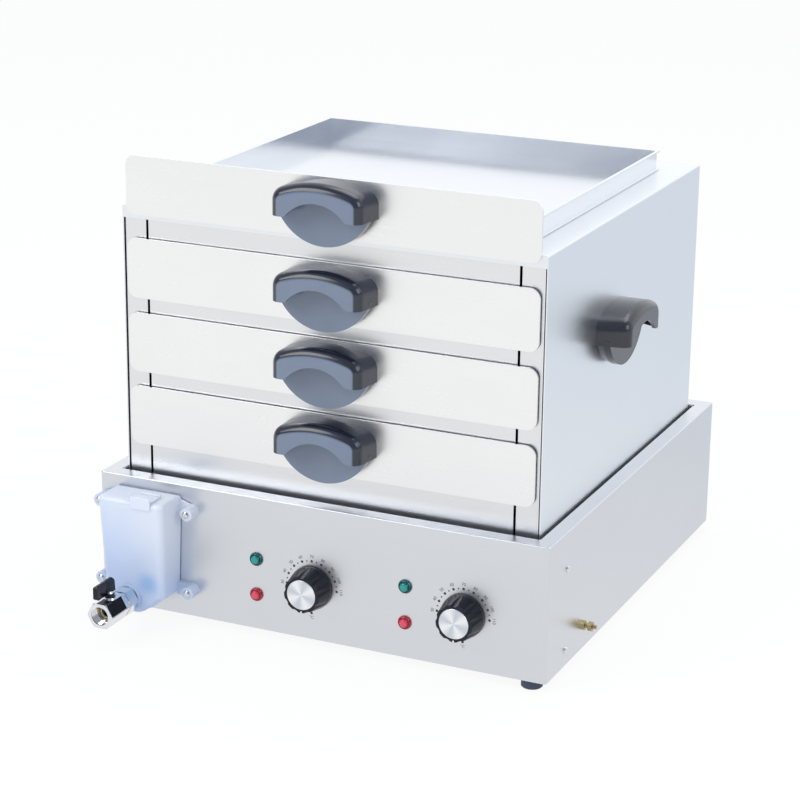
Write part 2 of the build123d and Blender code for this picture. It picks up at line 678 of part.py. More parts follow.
def sight_tank():
    tank = tank_form(0)
    for x, z in ear_places():
        side = 1 if x > TANK_X else -1
        root = TANK_X + side * (tank_half_width(z) - TANK_WALL / 2)
        tank += block((root, x), (TANK_BACK - EAR_TAB, PANEL_Y), (z - EAR_R, z + EAR_R))
        if z > TANK_Z + TANK_H / 2:
            web = Polyline((root, z), (root, TANK_TOP - TANK_EDGE_R), (x, z + EAR_R), (x, z), close=True)
            tank += extrude(facing(EAR_TAB - PANEL_Y) * make_face(web), EAR_TAB - TANK_RELIEF, dir=BEHIND)
        tank += rod((x, PANEL_Y, z), FORWARD, EAR_R, EAR_LENGTH)
        tank -= rod((x, PANEL_Y + 1, z), FORWARD, SCREW_R + SCREW_FIT, EAR_LENGTH + 2)
    boss_root = TANK_WALL_Y + TANK_WALL / 2
    tank += rod((TAP_X, boss_root, TAP_Z), FORWARD, TANK_BOSS_R, boss_root - BOSS_Y)
    hinge_y, hinge_z = flap_hinge()
    for side in (-1, 1):
        inner = FLAP_X + side * (FLAP_W / 2 - LUG_W)
        outer = FLAP_X + side * FLAP_W / 2
        lug = block((inner, outer), (hinge_y - LUG_R, hinge_y + LUG_R), (TANK_TOP - 1, hinge_z))
        tank += lug + rod((min(inner, outer), hinge_y, hinge_z), RIGHT, LUG_R, LUG_W)
    pin = HINGE_PIN_R + RUNNING_FIT
    tank -= rod((FLAP_X - FLAP_W, hinge_y, hinge_z), RIGHT, pin, 2 * FLAP_W)
    tank -= tank_form(TANK_WALL)
    mouth_w = FLAP_W / 2 - 2
    mouth = (hinge_y - 5, hinge_y - FLAP_D + 3)
    tank -= block((FLAP_X - mouth_w, FLAP_X + mouth_w), mouth, (TANK_TOP - 5, TANK_TOP + 5))
    tank -= rod((TAP_X, BOSS_Y - 1, TAP_Z), BEHIND, TAIL_R + SCREW_FIT, 10)
    tank -= rod((TANK_X, PANEL_Y, BELLY_Z), FORWARD, FITTING_R + SCREW_FIT, 5)
    length = EAR_LENGTH + SHELL_SCREW_L
    for x, z in ear_places():
        add("tank_screws", pan_head((x, PANEL_Y - EAR_LENGTH, z), BEHIND, SCREW_R, length))
    add("sight_tank", tank)


def flap_hinge():
    """The Y and Z of the flap's hinge line."""
    return TANK_BACK - TANK_TOP_D + FLAP_D + 0.5, TANK_TOP + HINGE_RISE


def filler_flap():
    hinge_y, hinge_z = flap_hinge()
    half = FLAP_W / 2
    low = TANK_TOP + SEAT_GAP
    front = hinge_y - FLAP_D - FLAP_T - 0.3
    flap = block((FLAP_X - half, FLAP_X + half), (front, hinge_y - 2.2), (low, low + FLAP_T))
    flap += block(
        (FLAP_X - half, FLAP_X + half),
        (front, front + FLAP_T),
        (low - FLAP_LIP, low + FLAP_T + FLAP_GRIP),
    )
    reach = half - LUG_W - SEAT_GAP
    flap += block((FLAP_X - reach, FLAP_X + reach), (hinge_y - 3, hinge_y), (low, low + FLAP_T))
    flap += rod((FLAP_X - reach, hinge_y, hinge_z), RIGHT, HINGE_R, 2 * reach)
    flap -= rod((FLAP_X - half, hinge_y, hinge_z), RIGHT, HINGE_PIN_R + RUNNING_FIT, FLAP_W)
    add("filler_flap", flap)
    add("filler_flap", rod((FLAP_X - half, hinge_y, hinge_z), RIGHT, HINGE_PIN_R, FLAP_W))


def water_way():
    inner = TANK_BACK - TANK_WALL
    end = PANEL_Y + FITTING_IN
    nose = inner - FITTING_HEAD
    tip = nose - FITTING_NOSE
    fitting = hexagon((TANK_X, inner, BELLY_Z), FORWARD, FITTING_FLATS, FITTING_HEAD)
    fitting += rod((TANK_X, nose, BELLY_Z), FORWARD, FITTING_NOSE_R, FITTING_NOSE)
    fitting += rod((TANK_X, inner, BELLY_Z), BEHIND, FITTING_R, end - inner)
    fitting -= rod((TANK_X, tip - 1, BELLY_Z), BEHIND, FITTING_BORE_R, end - tip + 2)
    add("bulkhead_fitting", fitting)
    nut = hexagon((TANK_X, PANEL_Y + SHEET, BELLY_Z), BEHIND, FITTING_NUT_FLATS, FITTING_NUT_T)
    nut -= rod((TANK_X, PANEL_Y, BELLY_Z), BEHIND, FITTING_R + SCREW_FIT, FITTING_IN)
    add("bulkhead_fitting", nut)
    points = [(TANK_X, end, BELLY_Z), (TANK_X, PIPE_Y, BELLY_Z), (TANK_X, PIPE_Y, PAN_FLOOR + PIPE_UP)]
    path = FilletPolyline(*points, radius=PIPE_BEND_R)
    section = Plane(origin=path @ 0, z_dir=path % 0) * (Circle(PIPE_R) - Circle(FITTING_BORE_R))
    add("feed_pipe", sweep(section, path=path))


# ---------------------------------------------------------------- drain tap
LEVER_FACE = TAP_FLATS / 2 + COLLAR_H + LEVER_GAP


def on_stem(rise):
    """The point on the stem's axis at a height over the ball's centre."""
    return (TAP_X, BALL_Y, TAP_Z + rise)


def tap():
    body = hexagon((TAP_X, TAP_FRONT, TAP_Z), BEHIND, TAP_FLATS, TAP_BODY_L, 30)
    corner = TAP_FLATS / 2 + 0.7
    body &= turned(
        [(0, 0), (corner, 0), (corner + 2, 1.4), (corner + 2, TAP_BODY_L), (0, TAP_BODY_L)],
        (TAP_X, TAP_FRONT, TAP_Z),
        BEHIND,
    )
    body += rod(on_stem(TAP_FLATS / 2 - 1), UP, COLLAR_R, COLLAR_H + 1)
    body -= rod((TAP_X, TAP_FRONT - 1, TAP_Z), BEHIND, TAP_THREAD_R, TAP_THREAD_L + 1)
    body -= rod((TAP_X, TAP_FRONT, TAP_Z), BEHIND, TAP_BORE_R + 1, TAP_BODY_L)
    body -= rod((TAP_X, CAVITY_Y, TAP_Z), BEHIND, CAVITY_R, TAP_BODY_L)
    body -= rod(on_stem(0), UP, STEM_R + RUNNING_FIT, TAP_FLATS)
    add("tap_body", body)

    pocket = Pos(TAP_X, BALL_Y, TAP_Z) * Sphere(BALL_R + BALL_GAP)
    for start, axis in ((CAVITY_Y, BEHIND), (2 * BALL_Y - CAVITY_Y, FORWARD)):
        ring = rod((TAP_X, start, TAP_Z), axis, CAVITY_R - RUNNING_FIT, SEAT_T)
        ring -= rod((TAP_X, start, TAP_Z), axis, TAP_BORE_R + 0.5, SEAT_T)
        add("tap_seats", ring - pocket)

    spigot_y = 2 * BALL_Y - CAVITY_Y
    tail = rod((TAP_X, spigot_y, TAP_Z), BEHIND, CAVITY_R - RUNNING_FIT, TAP_BACK - spigot_y)
    tail += rod((TAP_X, TAP_BACK, TAP_Z), BEHIND, TAP_FLATS / 2 - 0.8, TAP_GROOVE)
    tail += hexagon((TAP_X, TAP_BACK + TAP_GROOVE, TAP_Z), BEHIND, TAP_FLATS, TAP_NUT_L, 30)
    end = TANK_WALL_Y + TANK_WALL + TAIL_IN
    tail += rod((TAP_X, TAP_NUT_Y, TAP_Z), BEHIND, TAIL_R, end - TAP_NUT_Y)
    tail -= rod((TAP_X, spigot_y - 1, TAP_Z), BEHIND, TAP_BORE_R, end - spigot_y + 2)
    add("tap_tail", tail)
    washer = rod((TAP_X, TAP_NUT_Y, TAP_Z), BEHIND, TAP_FLATS / 2 - 0.4, TAP_WASHER)
    add("tap_washer", washer - rod((TAP_X, TAP_NUT_Y, TAP_Z), BEHIND, TAIL_R + SCREW_FIT, 3))
    nut_y = TANK_WALL_Y + TANK_WALL + TANK_TAPER * TANK_BOSS_R
    nut = hexagon((TAP_X, nut_y, TAP_Z), BEHIND, TAIL_NUT_FLATS, TAIL_NUT_T)
    add("tap_tail", nut - rod((TAP_X, nut_y - 1, TAP_Z), BEHIND, TAIL_R + SCREW_FIT, TAIL_NUT_T + 2))

    tang = Plane(origin=on_stem(BALL_R - TANG_SINK), z_dir=UP, x_dir=BEHIND)
    ball = Sphere(BALL_R) - Cylinder(TAP_BORE_R, 3 * BALL_R)
    ball -= Pos(BALL_R - TANG_SINK, 0, 0) * Box(2 * TANG_SINK, TANG_W + 2 * SCREW_FIT, 2 * BALL_R)
    add("tap_ball", Plane(origin=on_stem(0), z_dir=BEHIND, x_dir=UP) * ball)
    stem = rod(on_stem(BALL_R), UP, STEM_R, LEVER_FACE + LEVER_T - BALL_R)
    stem += tang * Box(TANG_L, TANG_W, 2 * (TANG_SINK - SCREW_FIT))
    end = on_stem(LEVER_FACE + LEVER_T)
    stem -= rod(on_stem(LEVER_FACE - 1), UP, LEVER_SCREW_R + SCREW_FIT, LEVER_T + 2)
    add("tap_stem", stem)
    outline = [(0, LEVER_SCREW_H), (STEM_R - 1, LEVER_SCREW_H), (LEVER_SCREW_HEAD_R, 0.8)]
    outline += [(LEVER_SCREW_HEAD_R, 0), (LEVER_SCREW_R, 0), (LEVER_SCREW_R, -LEVER_SCREW_L)]
    outline += [(0, -LEVER_SCREW_L)]
    add("tap_stem", turned(outline, end, UP))
    add("tap_handle", lever())


def lever():
    """The tap's lever: a boss on the stem and a wing that stands beside its screw."""
    right = TAP_X - WING_OFFSET
    low = TAP_Z + LEVER_FACE + 1
    top = TAP_Z + WING_TOP
    front = BALL_Y - WING_FRONT
    back = BALL_Y + WING_BACK
    outline = [(front, low + WING_CHAMFER), (front, top - WING_CHAMFER), (front + WING_CHAMFER, top)]
    outline += [(back - WING_SLANT, top), (back - 1, top - WING_SLANT), (back, low)]
    outline += [(front + WING_CHAMFER, low)]
    side = Plane(origin=(right, 0, 0), x_dir=BEHIND, z_dir=RIGHT)
    wing = extrude(side * make_face(Polyline(*outline, close=True)), WING_T, dir=LEFT)
    crest = wing.edges().filter_by(Axis.Y).group_by(Axis.Z)[-1]
    wing = chamfer(crest, WING_CHAMFER)
    boss = rod(on_stem(LEVER_FACE), UP, LEVER_BOSS_R, LEVER_T)
    pocket = rod(on_stem(LEVER_FACE + LEVER_T), UP, LEVER_SCREW_HEAD_R + SEAT_GAP, WING_TOP)
    pocket += rod(on_stem(LEVER_FACE - 1), UP, STEM_R + RUNNING_FIT / 2, LEVER_T + 2)
    return wing + boss - pocket


# ---------------------------------------------------------------- dials
def dials():
    for name, x in zip(("left", "right"), DIAL_XS):
        seat = (x, PANEL_Y - KNOB_GAP, DIAL_Z)
        place = Plane(origin=seat, z_dir=FORWARD, x_dir=RIGHT)
        add("knob_" + name, place * knob())
        low = KNOB_H - DISC_SINK
        disc = [(0, low), (DISC_R, low), (DISC_R, low + DISC_T - DISC_EDGE)]
        disc += [(DISC_R - DISC_EDGE, low + DISC_T), (0, low + DISC_T)]
        add("knob_" + name + "_disc", place * turned(disc, (0, 0, 0), UP))
        start = (x, PANEL_Y + SHAFT_IN, DIAL_Z)
        length = SHAFT_IN + KNOB_GAP + SHAFT_GRIP - 1
        add("knob_" + name + "_shaft", rod(start, FORWARD, SHAFT_R, length))


def knob():
    """A scalloped knob with its open side down and a hub for the shaft."""
    outline = [(0, 0), (KNOB_R, 0), (KNOB_R, KNOB_SKIRT_H), (KNOB_FRONT_R + 0.5, KNOB_H - 1)]
    outline += [(KNOB_FRONT_R, KNOB_H), (0, KNOB_H)]
    body = turned(outline, (0, 0, 0), UP)
    valley_r = KNOB_FRONT_R - SCALLOP_DEPTH
    lean = degrees(atan((KNOB_R - valley_r) / (KNOB_H - KNOB_SKIRT_H)))
    cutter = Cylinder(SCALLOP_R, 2 * KNOB_H, align=(Align.MIN, Align.CENTER, Align.MIN))
    flute = Pos(KNOB_R, 0, KNOB_SKIRT_H) * Rot(0, -lean, 0) * cutter
    for step in range(KNOB_SCALLOPS):
        body -= Rot(0, 0, 90 + step * 360 / KNOB_SCALLOPS) * flute
    body -= Pos(0, -KNOB_FRONT_R, KNOB_H) * Box(POINTER_W, 2 * POINTER_DEPTH, 2 * POINTER_L)
    hollow_r = KNOB_R - 2 * KNOB_WALL
    crown_z = KNOB_H - DISC_T - KNOB_WALL
    hollow = [(0, -1), (hollow_r, -1), (DISC_R - KNOB_WALL, crown_z), (0, crown_z)]
    hub = rod((0, 0, KNOB_WALL), UP, 2 * SHAFT_R, KNOB_H - 2 * KNOB_WALL)
    body = (body - turned(hollow, (0, 0, 0), UP)) + hub
    body -= rod((0, 0, 0), UP, SHAFT_R + RUNNING_FIT, SHAFT_GRIP)
    return body - rod((0, 0, KNOB_H - DISC_SINK), UP, DISC_R + SCREW_FIT, DISC_T)


# ---------------------------------------------------------------- cabinet
def cabinet_shell():
    outer = block((-CABINET_X, CABINET_X), (CABINET_FRONT, CABINET_REAR), (CABINET_Z, CABINET_TOP))
    outer = fillet(outer.edges().filter_by(Axis.Y).group_by(Axis.Z)[-1], 1.5 * SHEET)
    flange = block(
        (-CABINET_X, CABINET_X), (FLANGE_FRONT, CABINET_FRONT + SHEET), (FLANGE_LOW, CABINET_TOP)
    )
    shell = outer + fillet(flange.edges().filter_by(Axis.Y).group_by(Axis.Z)[-1], 1.5 * SHEET)
    front = FLANGE_FRONT + SHEET
    shell -= block((-INNER_X, INNER_X), (front, CABINET_REAR + 1), (CABINET_Z - 1, CABINET_TOP - SHEET))
    shell -= block((-INNER_X, INNER_X), (FLANGE_FRONT - 1, front), (CABINET_Z - 1, FLANGE_LOW))
    for side in (-1, 1):
        for y in side_screw_ys():
            hole = (side * (INNER_X - 1), y, SIDE_HANDLE_Z + HANDLE_SCREW_Z)
            shell -= rod(hole, (side, 0, 0), HANDLE_SCREW_R + SCREW_FIT, SHEET + 2)
    return shell


def side_screw_ys():
    return [SIDE_HANDLE_Y + side * HANDLE_SCREW_X for side in (-1, 1)]


def mouth_heights():
    """Underside and top of each drawer's opening in the cabinet front."""
    low = [TRAYS[name] for name in ("low", "mid", "high")]
    return [(z + FASCIA_COVER, z + RAIL_FACE_RISE) for z in low]


def cabinet_frame():
    mouths = mouth_heights()
    top = FLANGE_LOW + TOP_FLANGE_H - SHEET
    turn_back = POST_FRONT + POST_D - POST_FLANGE
    for side in (-1, 1):
        inner = side * POST_INNER_X
        outer = side * (INNER_X - POST_GAP)
        wall = side * (INNER_X - POST_GAP - SHEET)
        span = (CABINET_Z, top)
        post = block((inner, outer), (POST_FRONT, POST_FRONT + SHEET), span)
        post += block((wall, outer), (POST_FRONT, turn_back), span)
        post += block((wall, side * INNER_X), (turn_back, turn_back + SHEET), span)
        lap = (side * (INNER_X - SHEET), side * INNER_X)
        post += block(lap, (turn_back, POST_FRONT + POST_D), span)
        add("front_posts", post)

    edges = [CABINET_Z] + [z for pair in mouths for z in pair] + [top]
    panels = list(zip(edges[0::2], edges[1::2]))
    for index, (low, high) in enumerate(panels):
        panel = block((-RAIL_X, RAIL_X), (POST_FRONT, POST_FRONT + SHEET), (low, high))
        behind = (POST_FRONT + SHEET, POST_FRONT + 2 * SHEET)
        reach = POST_INNER_X + POST_W / 2
        panel += block((-reach, reach), behind, (low + 1, low + RAIL_TAB_H))
        if index < len(panels) - 1:
            panel += block((-RAIL_X, RAIL_X), (POST_FRONT, POST_FRONT + 12), (high - SHEET, high))
        add("lower_panel" if index == 0 else "cross_rails", panel)


def cabinet_back():
    rear = (CABINET_REAR - SHEET, CABINET_REAR)
    back = block((-INNER_X, INNER_X), rear, (CABINET_Z, CABINET_TOP - SHEET))
    for side in (-1, 1):
        limits = (side * (INNER_X - SHEET), side * INNER_X)
        back += block(limits, (CABINET_REAR - 14, CABINET_REAR), (CABINET_Z, CABINET_TOP - SHEET))
    return back


def drawer_runners():
    guide = PAN_W / 2 + RUNNER_GUIDE_GAP
    t = RUNNER_SHEET
    for name in ("low", "mid", "high"):
        shelf = TRAYS[name] + PAN_RISE - SEAT_GAP
        step = shelf + RUNNER_STEP
        points = [(INNER_X, step - t), (guide + t, step - t), (guide + t, shelf - t)]
        points += [(guide - RUNNER_SHELF, shelf - t), (guide - RUNNER_SHELF, shelf), (guide, shelf)]
        points += [(guide, step), (INNER_X - t, step), (INNER_X - t, step + 12), (INNER_X, step + 12)]
        face = make_face(Polyline(*points, close=True))
        length = CABINET_REAR - SHEET - RUNNER_FRONT
        runner = extrude(facing(-RUNNER_FRONT) * face, length, dir=BEHIND)
        runner -= block(
            (INNER_X - 2 * SHEET, INNER_X), (CABINET_REAR - 15, CABINET_REAR), (step - 2 * t, step + 14)
        )
        add("drawer_runners", runner, mirror(runner, Plane.YZ))


# ---------------------------------------------------------------- trays
def tray(name, fascia_z):
    fascia_h = TOP_FASCIA_H if name == "top" else FASCIA_H
    back = FASCIA_FRONT + SHEET
    centre_z = fascia_z + fascia_h / 2
    outline = RectangleRounded(FASCIA_W, fascia_h, FASCIA_R)
    plate = extrude(facing(-FASCIA_FRONT) * (Pos(0, centre_z) * outline), SHEET, dir=BEHIND)
    hem = outline - Rectangle(FASCIA_W - 2 * FASCIA_HEM, fascia_h - 2 * FASCIA_HEM)
    plate += extrude(facing(-back) * (Pos(0, centre_z) * hem), HEM_T, dir=BEHIND)
    screw_z = centre_z + HANDLE_SCREW_Z
    for x in handle_screw_xs():
        hole = (x, FASCIA_FRONT - 1, screw_z)
        plate -= rod(hole, BEHIND, HANDLE_SCREW_R + SCREW_FIT, SHEET + 2)
    low = fascia_z + PAN_RISE if name != "top" else CABINET_TOP + SEAT_GAP
    add(name + "_tray_fascia", plate)
    add(name + "_tray_pan", tray_pan(back, low, screw_z))
    add(name + "_tray_handle", Pos(HANDLE_X, FASCIA_FRONT, centre_z) * cup_handle())
    wall = back + PAN_SHEET
    on_wall = low + PAN_WALL_H > screw_z - HANDLE_SCREW_R * SCREW_HEAD_R / SCREW_R
    seat = wall if on_wall else back
    for x in handle_screw_xs():
        reach = seat - FASCIA_FRONT + HANDLE_SCREW_L
        add(name + "_tray_screws", pan_head((x, seat, screw_z), FORWARD, HANDLE_SCREW_R, reach))


def handle_screw_xs():
    return [HANDLE_X + side * HANDLE_SCREW_X for side in (-1, 1)]


def tray_pan(front, low, screw_z):
    """A shallow pan with a rolled rim and foot that stand out from its walls."""
    half = PAN_W / 2 - PAN_HEM
    high = low + PAN_WALL_H
    rear = PAN_REAR - PAN_HEM
    pan = block((-half, half), (front, rear), (low, high))
    for z in (low, high - SHEET):
        pan += block((-PAN_W / 2, PAN_W / 2), (front + HEM_T, PAN_REAR), (z, z + SHEET))
    inner = half - PAN_SHEET
    pan -= block((-inner, inner), (front + PAN_SHEET, rear - PAN_SHEET), (low + PAN_SHEET, high + 1))
    for x in handle_screw_xs():
        pan -= rod((x, front - 1, screw_z), BEHIND, HANDLE_SCREW_R + SCREW_FIT, PAN_SHEET + 2)
    return pan


# ---------------------------------------------------------------- cup handle
def hood_outline(half_w, apex, foot):
    """A flat arch on straight sides, with corner arcs tangent to both."""
    reach = half_w - HOOD_CORNER_R
    drop = sqrt((HOOD_ARCH_R - HOOD_CORNER_R) ** 2 - reach**2)
    spring = apex - HOOD_ARCH_R + drop
    turn = atan2(drop, reach)
    join = (HOOD_ARCH_R * cos(turn), apex - HOOD_ARCH_R + HOOD_ARCH_R * sin(turn))
    mid = (reach + HOOD_CORNER_R * cos(turn / 2), spring + HOOD_CORNER_R * sin(turn / 2))
    edges = [
        Line((-half_w, foot), (half_w, foot)),
        Line((half_w, foot), (half_w, spring)),
        ThreePointArc((half_w, spring), mid, join),
        ThreePointArc(join, (0, apex), (-join[0], join[1])),
        ThreePointArc((-join[0], join[1]), (-mid[0], mid[1]), (-half_w, spring)),
        Line((-half_w, spring), (-half_w, foot)),
    ]
    return make_face(edges)


def bowl_outline(radius):
    """The round lower part of the handle, up to its widest chord."""
    half = sqrt(radius**2 - BOWL_Z**2)
    return make_face(
        [ThreePointArc((-half, 0), (0, BOWL_Z - radius), (half, 0)), Line((half, 0), (-half, 0))]
    )


def cup_handle():
    """A moulded cup handle: a hood over a finger pocket, on a round backplate."""
    tip = facing(HANDLE_DEPTH) * hood_outline(HANDLE_TIP_HALF_W, HOOD_TIP_APEX, HOOD_FOOT)
    hood = loft([facing(0) * hood_outline(HANDLE_HALF_W, HOOD_APEX, HOOD_FOOT), tip], ruled=True)
    rim = [e for e in hood.edges().group_by(Axis.Y)[0] if e.center().Z > HOOD_FOOT + 1]
    hood = fillet(rim, HOOD_FRONT_R)
    pocket_end = HANDLE_DEPTH - HOOD_WALL
    slope = (HANDLE_HALF_W - HANDLE_TIP_HALF_W) / HANDLE_DEPTH
    rooms = []
    for depth in (BOWL_DEPTH, pocket_end):
        half = HANDLE_HALF_W - slope * depth - HOOD_WALL
        drawn_in = HOOD_FRONT_R / 2 if depth == pocket_end else 0
        rooms.append(facing(depth) * hood_outline(half - drawn_in, HOOD_APEX - HOOD_WALL - drawn_in, -20))
    hood -= loft(rooms, ruled=True)
    below = Pos(0, HOOD_FOOT - 20) * Rectangle(3 * HANDLE_HALF_W, 40)
    arch = below + Pos(0, ARCH_TOP - ARCH_R) * Circle(ARCH_R)
    corners = [v for v in arch.vertices() if abs(v.Y - HOOD_FOOT) < 0.01 and abs(v.X) < HANDLE_HALF_W]
    arch = fillet(corners, ARCH_FILLET_R)
    hood -= extrude(facing(BOWL_DEPTH) * arch, 2 * HANDLE_DEPTH, dir=FORWARD)
    bowl = loft(
        [facing(0) * bowl_outline(BOWL_R - BOWL_BEVEL), facing(BOWL_BEVEL_DEPTH) * bowl_outline(BOWL_R)],
        ruled=True,
    )
    bowl += extrude(
        facing(BOWL_BEVEL_DEPTH) * bowl_outline(BOWL_R), BOWL_DEPTH - BOWL_BEVEL_DEPTH, dir=FORWARD
    )
    handle = hood + bowl
    for side in (-1, 1):
        hole = (side * HANDLE_SCREW_X, 1, HANDLE_SCREW_Z)
        handle -= rod(hole, FORWARD, HANDLE_SCREW_R + SCREW_FIT, HANDLE_SCREW_L + 2)
    return handle


def side_handles():
    for name, side in (("left", -1), ("right", 1)):
        place = Pos(side * CABINET_X, SIDE_HANDLE_Y, SIDE_HANDLE_Z) * Rot(0, 0, side * 90)
        add("side_handle_" + name, place * cup_handle())
        for y in side_screw_ys():
            seat = (side * INNER_X, y, SIDE_HANDLE_Z + HANDLE_SCREW_Z)
            screw = pan_head(seat, (side, 0, 0), HANDLE_SCREW_R, SHEET + HANDLE_SCREW_L)
            add("side_handle_screws", screw)


# ---------------------------------------------------------------- assembly
add("base_shell", base_shell())
add("water_pan", water_pan())
pan_ledges()
add("bottom_cover", bottom_cover())
feet()
heaters()
thermostats()
lamps()
supply()
sight_tank()
filler_flap()
water_way()
tap()
dials()
add("cabinet_shell", cabinet_shell())
add("cabinet_back", cabinet_back())
cabinet_frame()
drawer_runners()
side_handles()
for tray_name, tray_z in TRAYS.items():
    tray(tray_name, tray_z)

# The origin is at the middle of the whole machine's footprint, on the floor.
for name, solids in nodes.items():
    placed = [Pos(0, SHIFT_Y, 0) * solid for solid in solids]
    export_step(Compound(children=placed), f"parts/{name}.step")

print("nodes", len(nodes), "shift", round(SHIFT_Y, 3))
hinge_line = flap_hinge()
print("dial centres", [(x, round(PANEL_Y + SHIFT_Y, 3), DIAL_Z) for x in DIAL_XS])
print("ball centre", [round(v, 3) for v in (TAP_X, BALL_Y + SHIFT_Y, TAP_Z)])
print("flap hinge", [round(v, 3) for v in (FLAP_X, hinge_line[0] + SHIFT_Y, hinge_line[1])])
print("tap front", round(TAP_FRONT + SHIFT_Y, 3), "gland end", round(GLAND_END + SHIFT_Y, 3))
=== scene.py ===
import math

import bpy
import bmesh
from mathutils import Matrix, Vector


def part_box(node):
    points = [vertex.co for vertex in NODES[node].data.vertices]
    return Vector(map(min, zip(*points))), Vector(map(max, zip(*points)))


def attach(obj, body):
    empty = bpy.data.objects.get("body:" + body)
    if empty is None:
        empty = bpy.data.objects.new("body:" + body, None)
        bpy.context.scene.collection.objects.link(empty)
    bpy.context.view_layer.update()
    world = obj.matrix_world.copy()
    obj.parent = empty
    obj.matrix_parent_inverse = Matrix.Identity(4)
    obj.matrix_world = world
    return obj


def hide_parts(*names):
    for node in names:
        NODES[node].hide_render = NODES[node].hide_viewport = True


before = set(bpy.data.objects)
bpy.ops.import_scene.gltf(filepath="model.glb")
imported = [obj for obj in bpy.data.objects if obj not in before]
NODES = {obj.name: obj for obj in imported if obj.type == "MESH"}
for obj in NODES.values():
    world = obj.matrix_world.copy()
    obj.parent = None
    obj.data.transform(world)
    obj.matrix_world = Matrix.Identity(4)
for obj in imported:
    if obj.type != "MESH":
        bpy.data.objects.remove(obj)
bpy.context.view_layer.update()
bpy.ops.object.select_all(action="DESELECT")

MM = 0.001
TRAYS = ("top", "high", "mid", "low")
PANEL_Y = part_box("base_shell")[0][1]


def corners(node):
    """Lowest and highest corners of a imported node, as vectors."""
    low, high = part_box(node)
    return Vector(low), Vector(high)


def middle(node):
    """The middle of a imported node's box."""
    low, high = corners(node)
    return (low + high) / 2


# ------------------------------------------------------------------ shader maths
class Field:
    """A shader value that adds up like a number."""

    def __init__(self, finish, socket):
        self.finish = finish
        self.socket = socket

    def sum(self, operation, *values):
        return self.finish.node("ShaderNodeMath", {"operation": operation}, dict(enumerate(values)))

    def __add__(self, other):
        return self.sum("ADD", self, other)

    def __radd__(self, other):
        return self.sum("ADD", other, self)

    def __sub__(self, other):
        return self.sum("SUBTRACT", self, other)

    def __rsub__(self, other):
        return self.sum("SUBTRACT", other, self)

    def __mul__(self, other):
        return self.sum("MULTIPLY", self, other)

    def __rmul__(self, other):
        return self.sum("MULTIPLY", other, self)

    def __pow__(self, other):
        return self.sum("POWER", self, other)

    def __abs__(self):
        return self.sum("ABSOLUTE", self)


class Finish:
    """One material and the nodes that make it."""

    def __init__(self, name):
        self.material = bpy.data.materials.new(name)
        self.material.use_nodes = True
        self.tree = self.material.node_tree
        self.tree.nodes.clear()
        self.output = self.tree.nodes.new("ShaderNodeOutputMaterial")

    def node(self, kind, settings=None, inputs=None, out=0):
        """A node of a kind, its settings first and then its sockets' values or links."""
        made = self.tree.nodes.new(kind)
        for key, value in (settings or {}).items():
            if key == "stops":
                ramp = made.color_ramp.elements
                for index, (place, colour) in enumerate(value):
                    stop = ramp[index] if index < 2 else ramp.new(place)
                    stop.position = place
                    stop.color = (*colour, 1)
            else:
                setattr(made, key, value)
        for key, value in (inputs or {}).items():
            if isinstance(value, Field):
                self.tree.links.new(value.socket, made.inputs[key])
            else:
                made.inputs[key].default_value = value
        return Field(self, made.outputs[out])

    def place(self, output="Object"):
        """The object coordinates, or another output of Texture Coordinate."""
        return self.node("ShaderNodeTexCoord", out=output)

    def parts(self, vector=None):
        """The X, Y and Z of a vector, object coordinates unless another is given."""
        split = self.node("ShaderNodeSeparateXYZ", inputs={0: vector or self.place()})
        outputs = split.socket.node.outputs
        return [Field(self, outputs[index]) for index in range(3)]

    def noise(self, scale, stretch=(1, 1, 1), detail=3.0, rough=0.5):
        """Cloudy noise with features about 1 / scale metres across, stretched per axis."""
        vector = self.node("ShaderNodeMapping", inputs={0: self.place(), 3: stretch})
        inputs = {"Vector": vector, "Scale": scale, "Detail": detail, "Roughness": rough}
        return self.node("ShaderNodeTexNoise", inputs=inputs)

    def mix(self, factor, first, second):
        """From the first colour to the second as the factor goes from 0 to 1."""
        inputs = {0: factor, 6: four(first), 7: four(second)}
        settings = {"data_type": "RGBA", "clamp_factor": True}
        return self.node("ShaderNodeMix", settings, inputs, out=2)

    def ramp(self, value, low, high):
        """0 below low, 1 above high and a smooth step between."""
        inputs = {"Value": value, "From Min": low, "From Max": high}
        settings = {"interpolation_type": "SMOOTHSTEP"}
        return self.node("ShaderNodeMapRange", settings, inputs)

    def bump(self, height, distance, strength):
        """A bumped normal. The distance is in metres."""
        inputs = {"Height": height, "Distance": distance, "Strength": strength}
        return self.node("ShaderNodeBump", inputs=inputs)

    def surface(self, **inputs):
        """The Principled surface. Underscores in the names stand for spaces."""
        named = {key.replace("_", " "): value for key, value in inputs.items()}
        if not isinstance(named.get("Base Color"), Field):
            named["Base Color"] = four(named["Base Color"])
        shader = self.node("ShaderNodeBsdfPrincipled", inputs=named)
        self.tree.links.new(shader.socket, self.output.inputs["Surface"])
        return self.material


def four(colour):
    """A colour with its alpha, or a field as it is."""
    return colour if isinstance(colour, Field) else (*colour, 1)


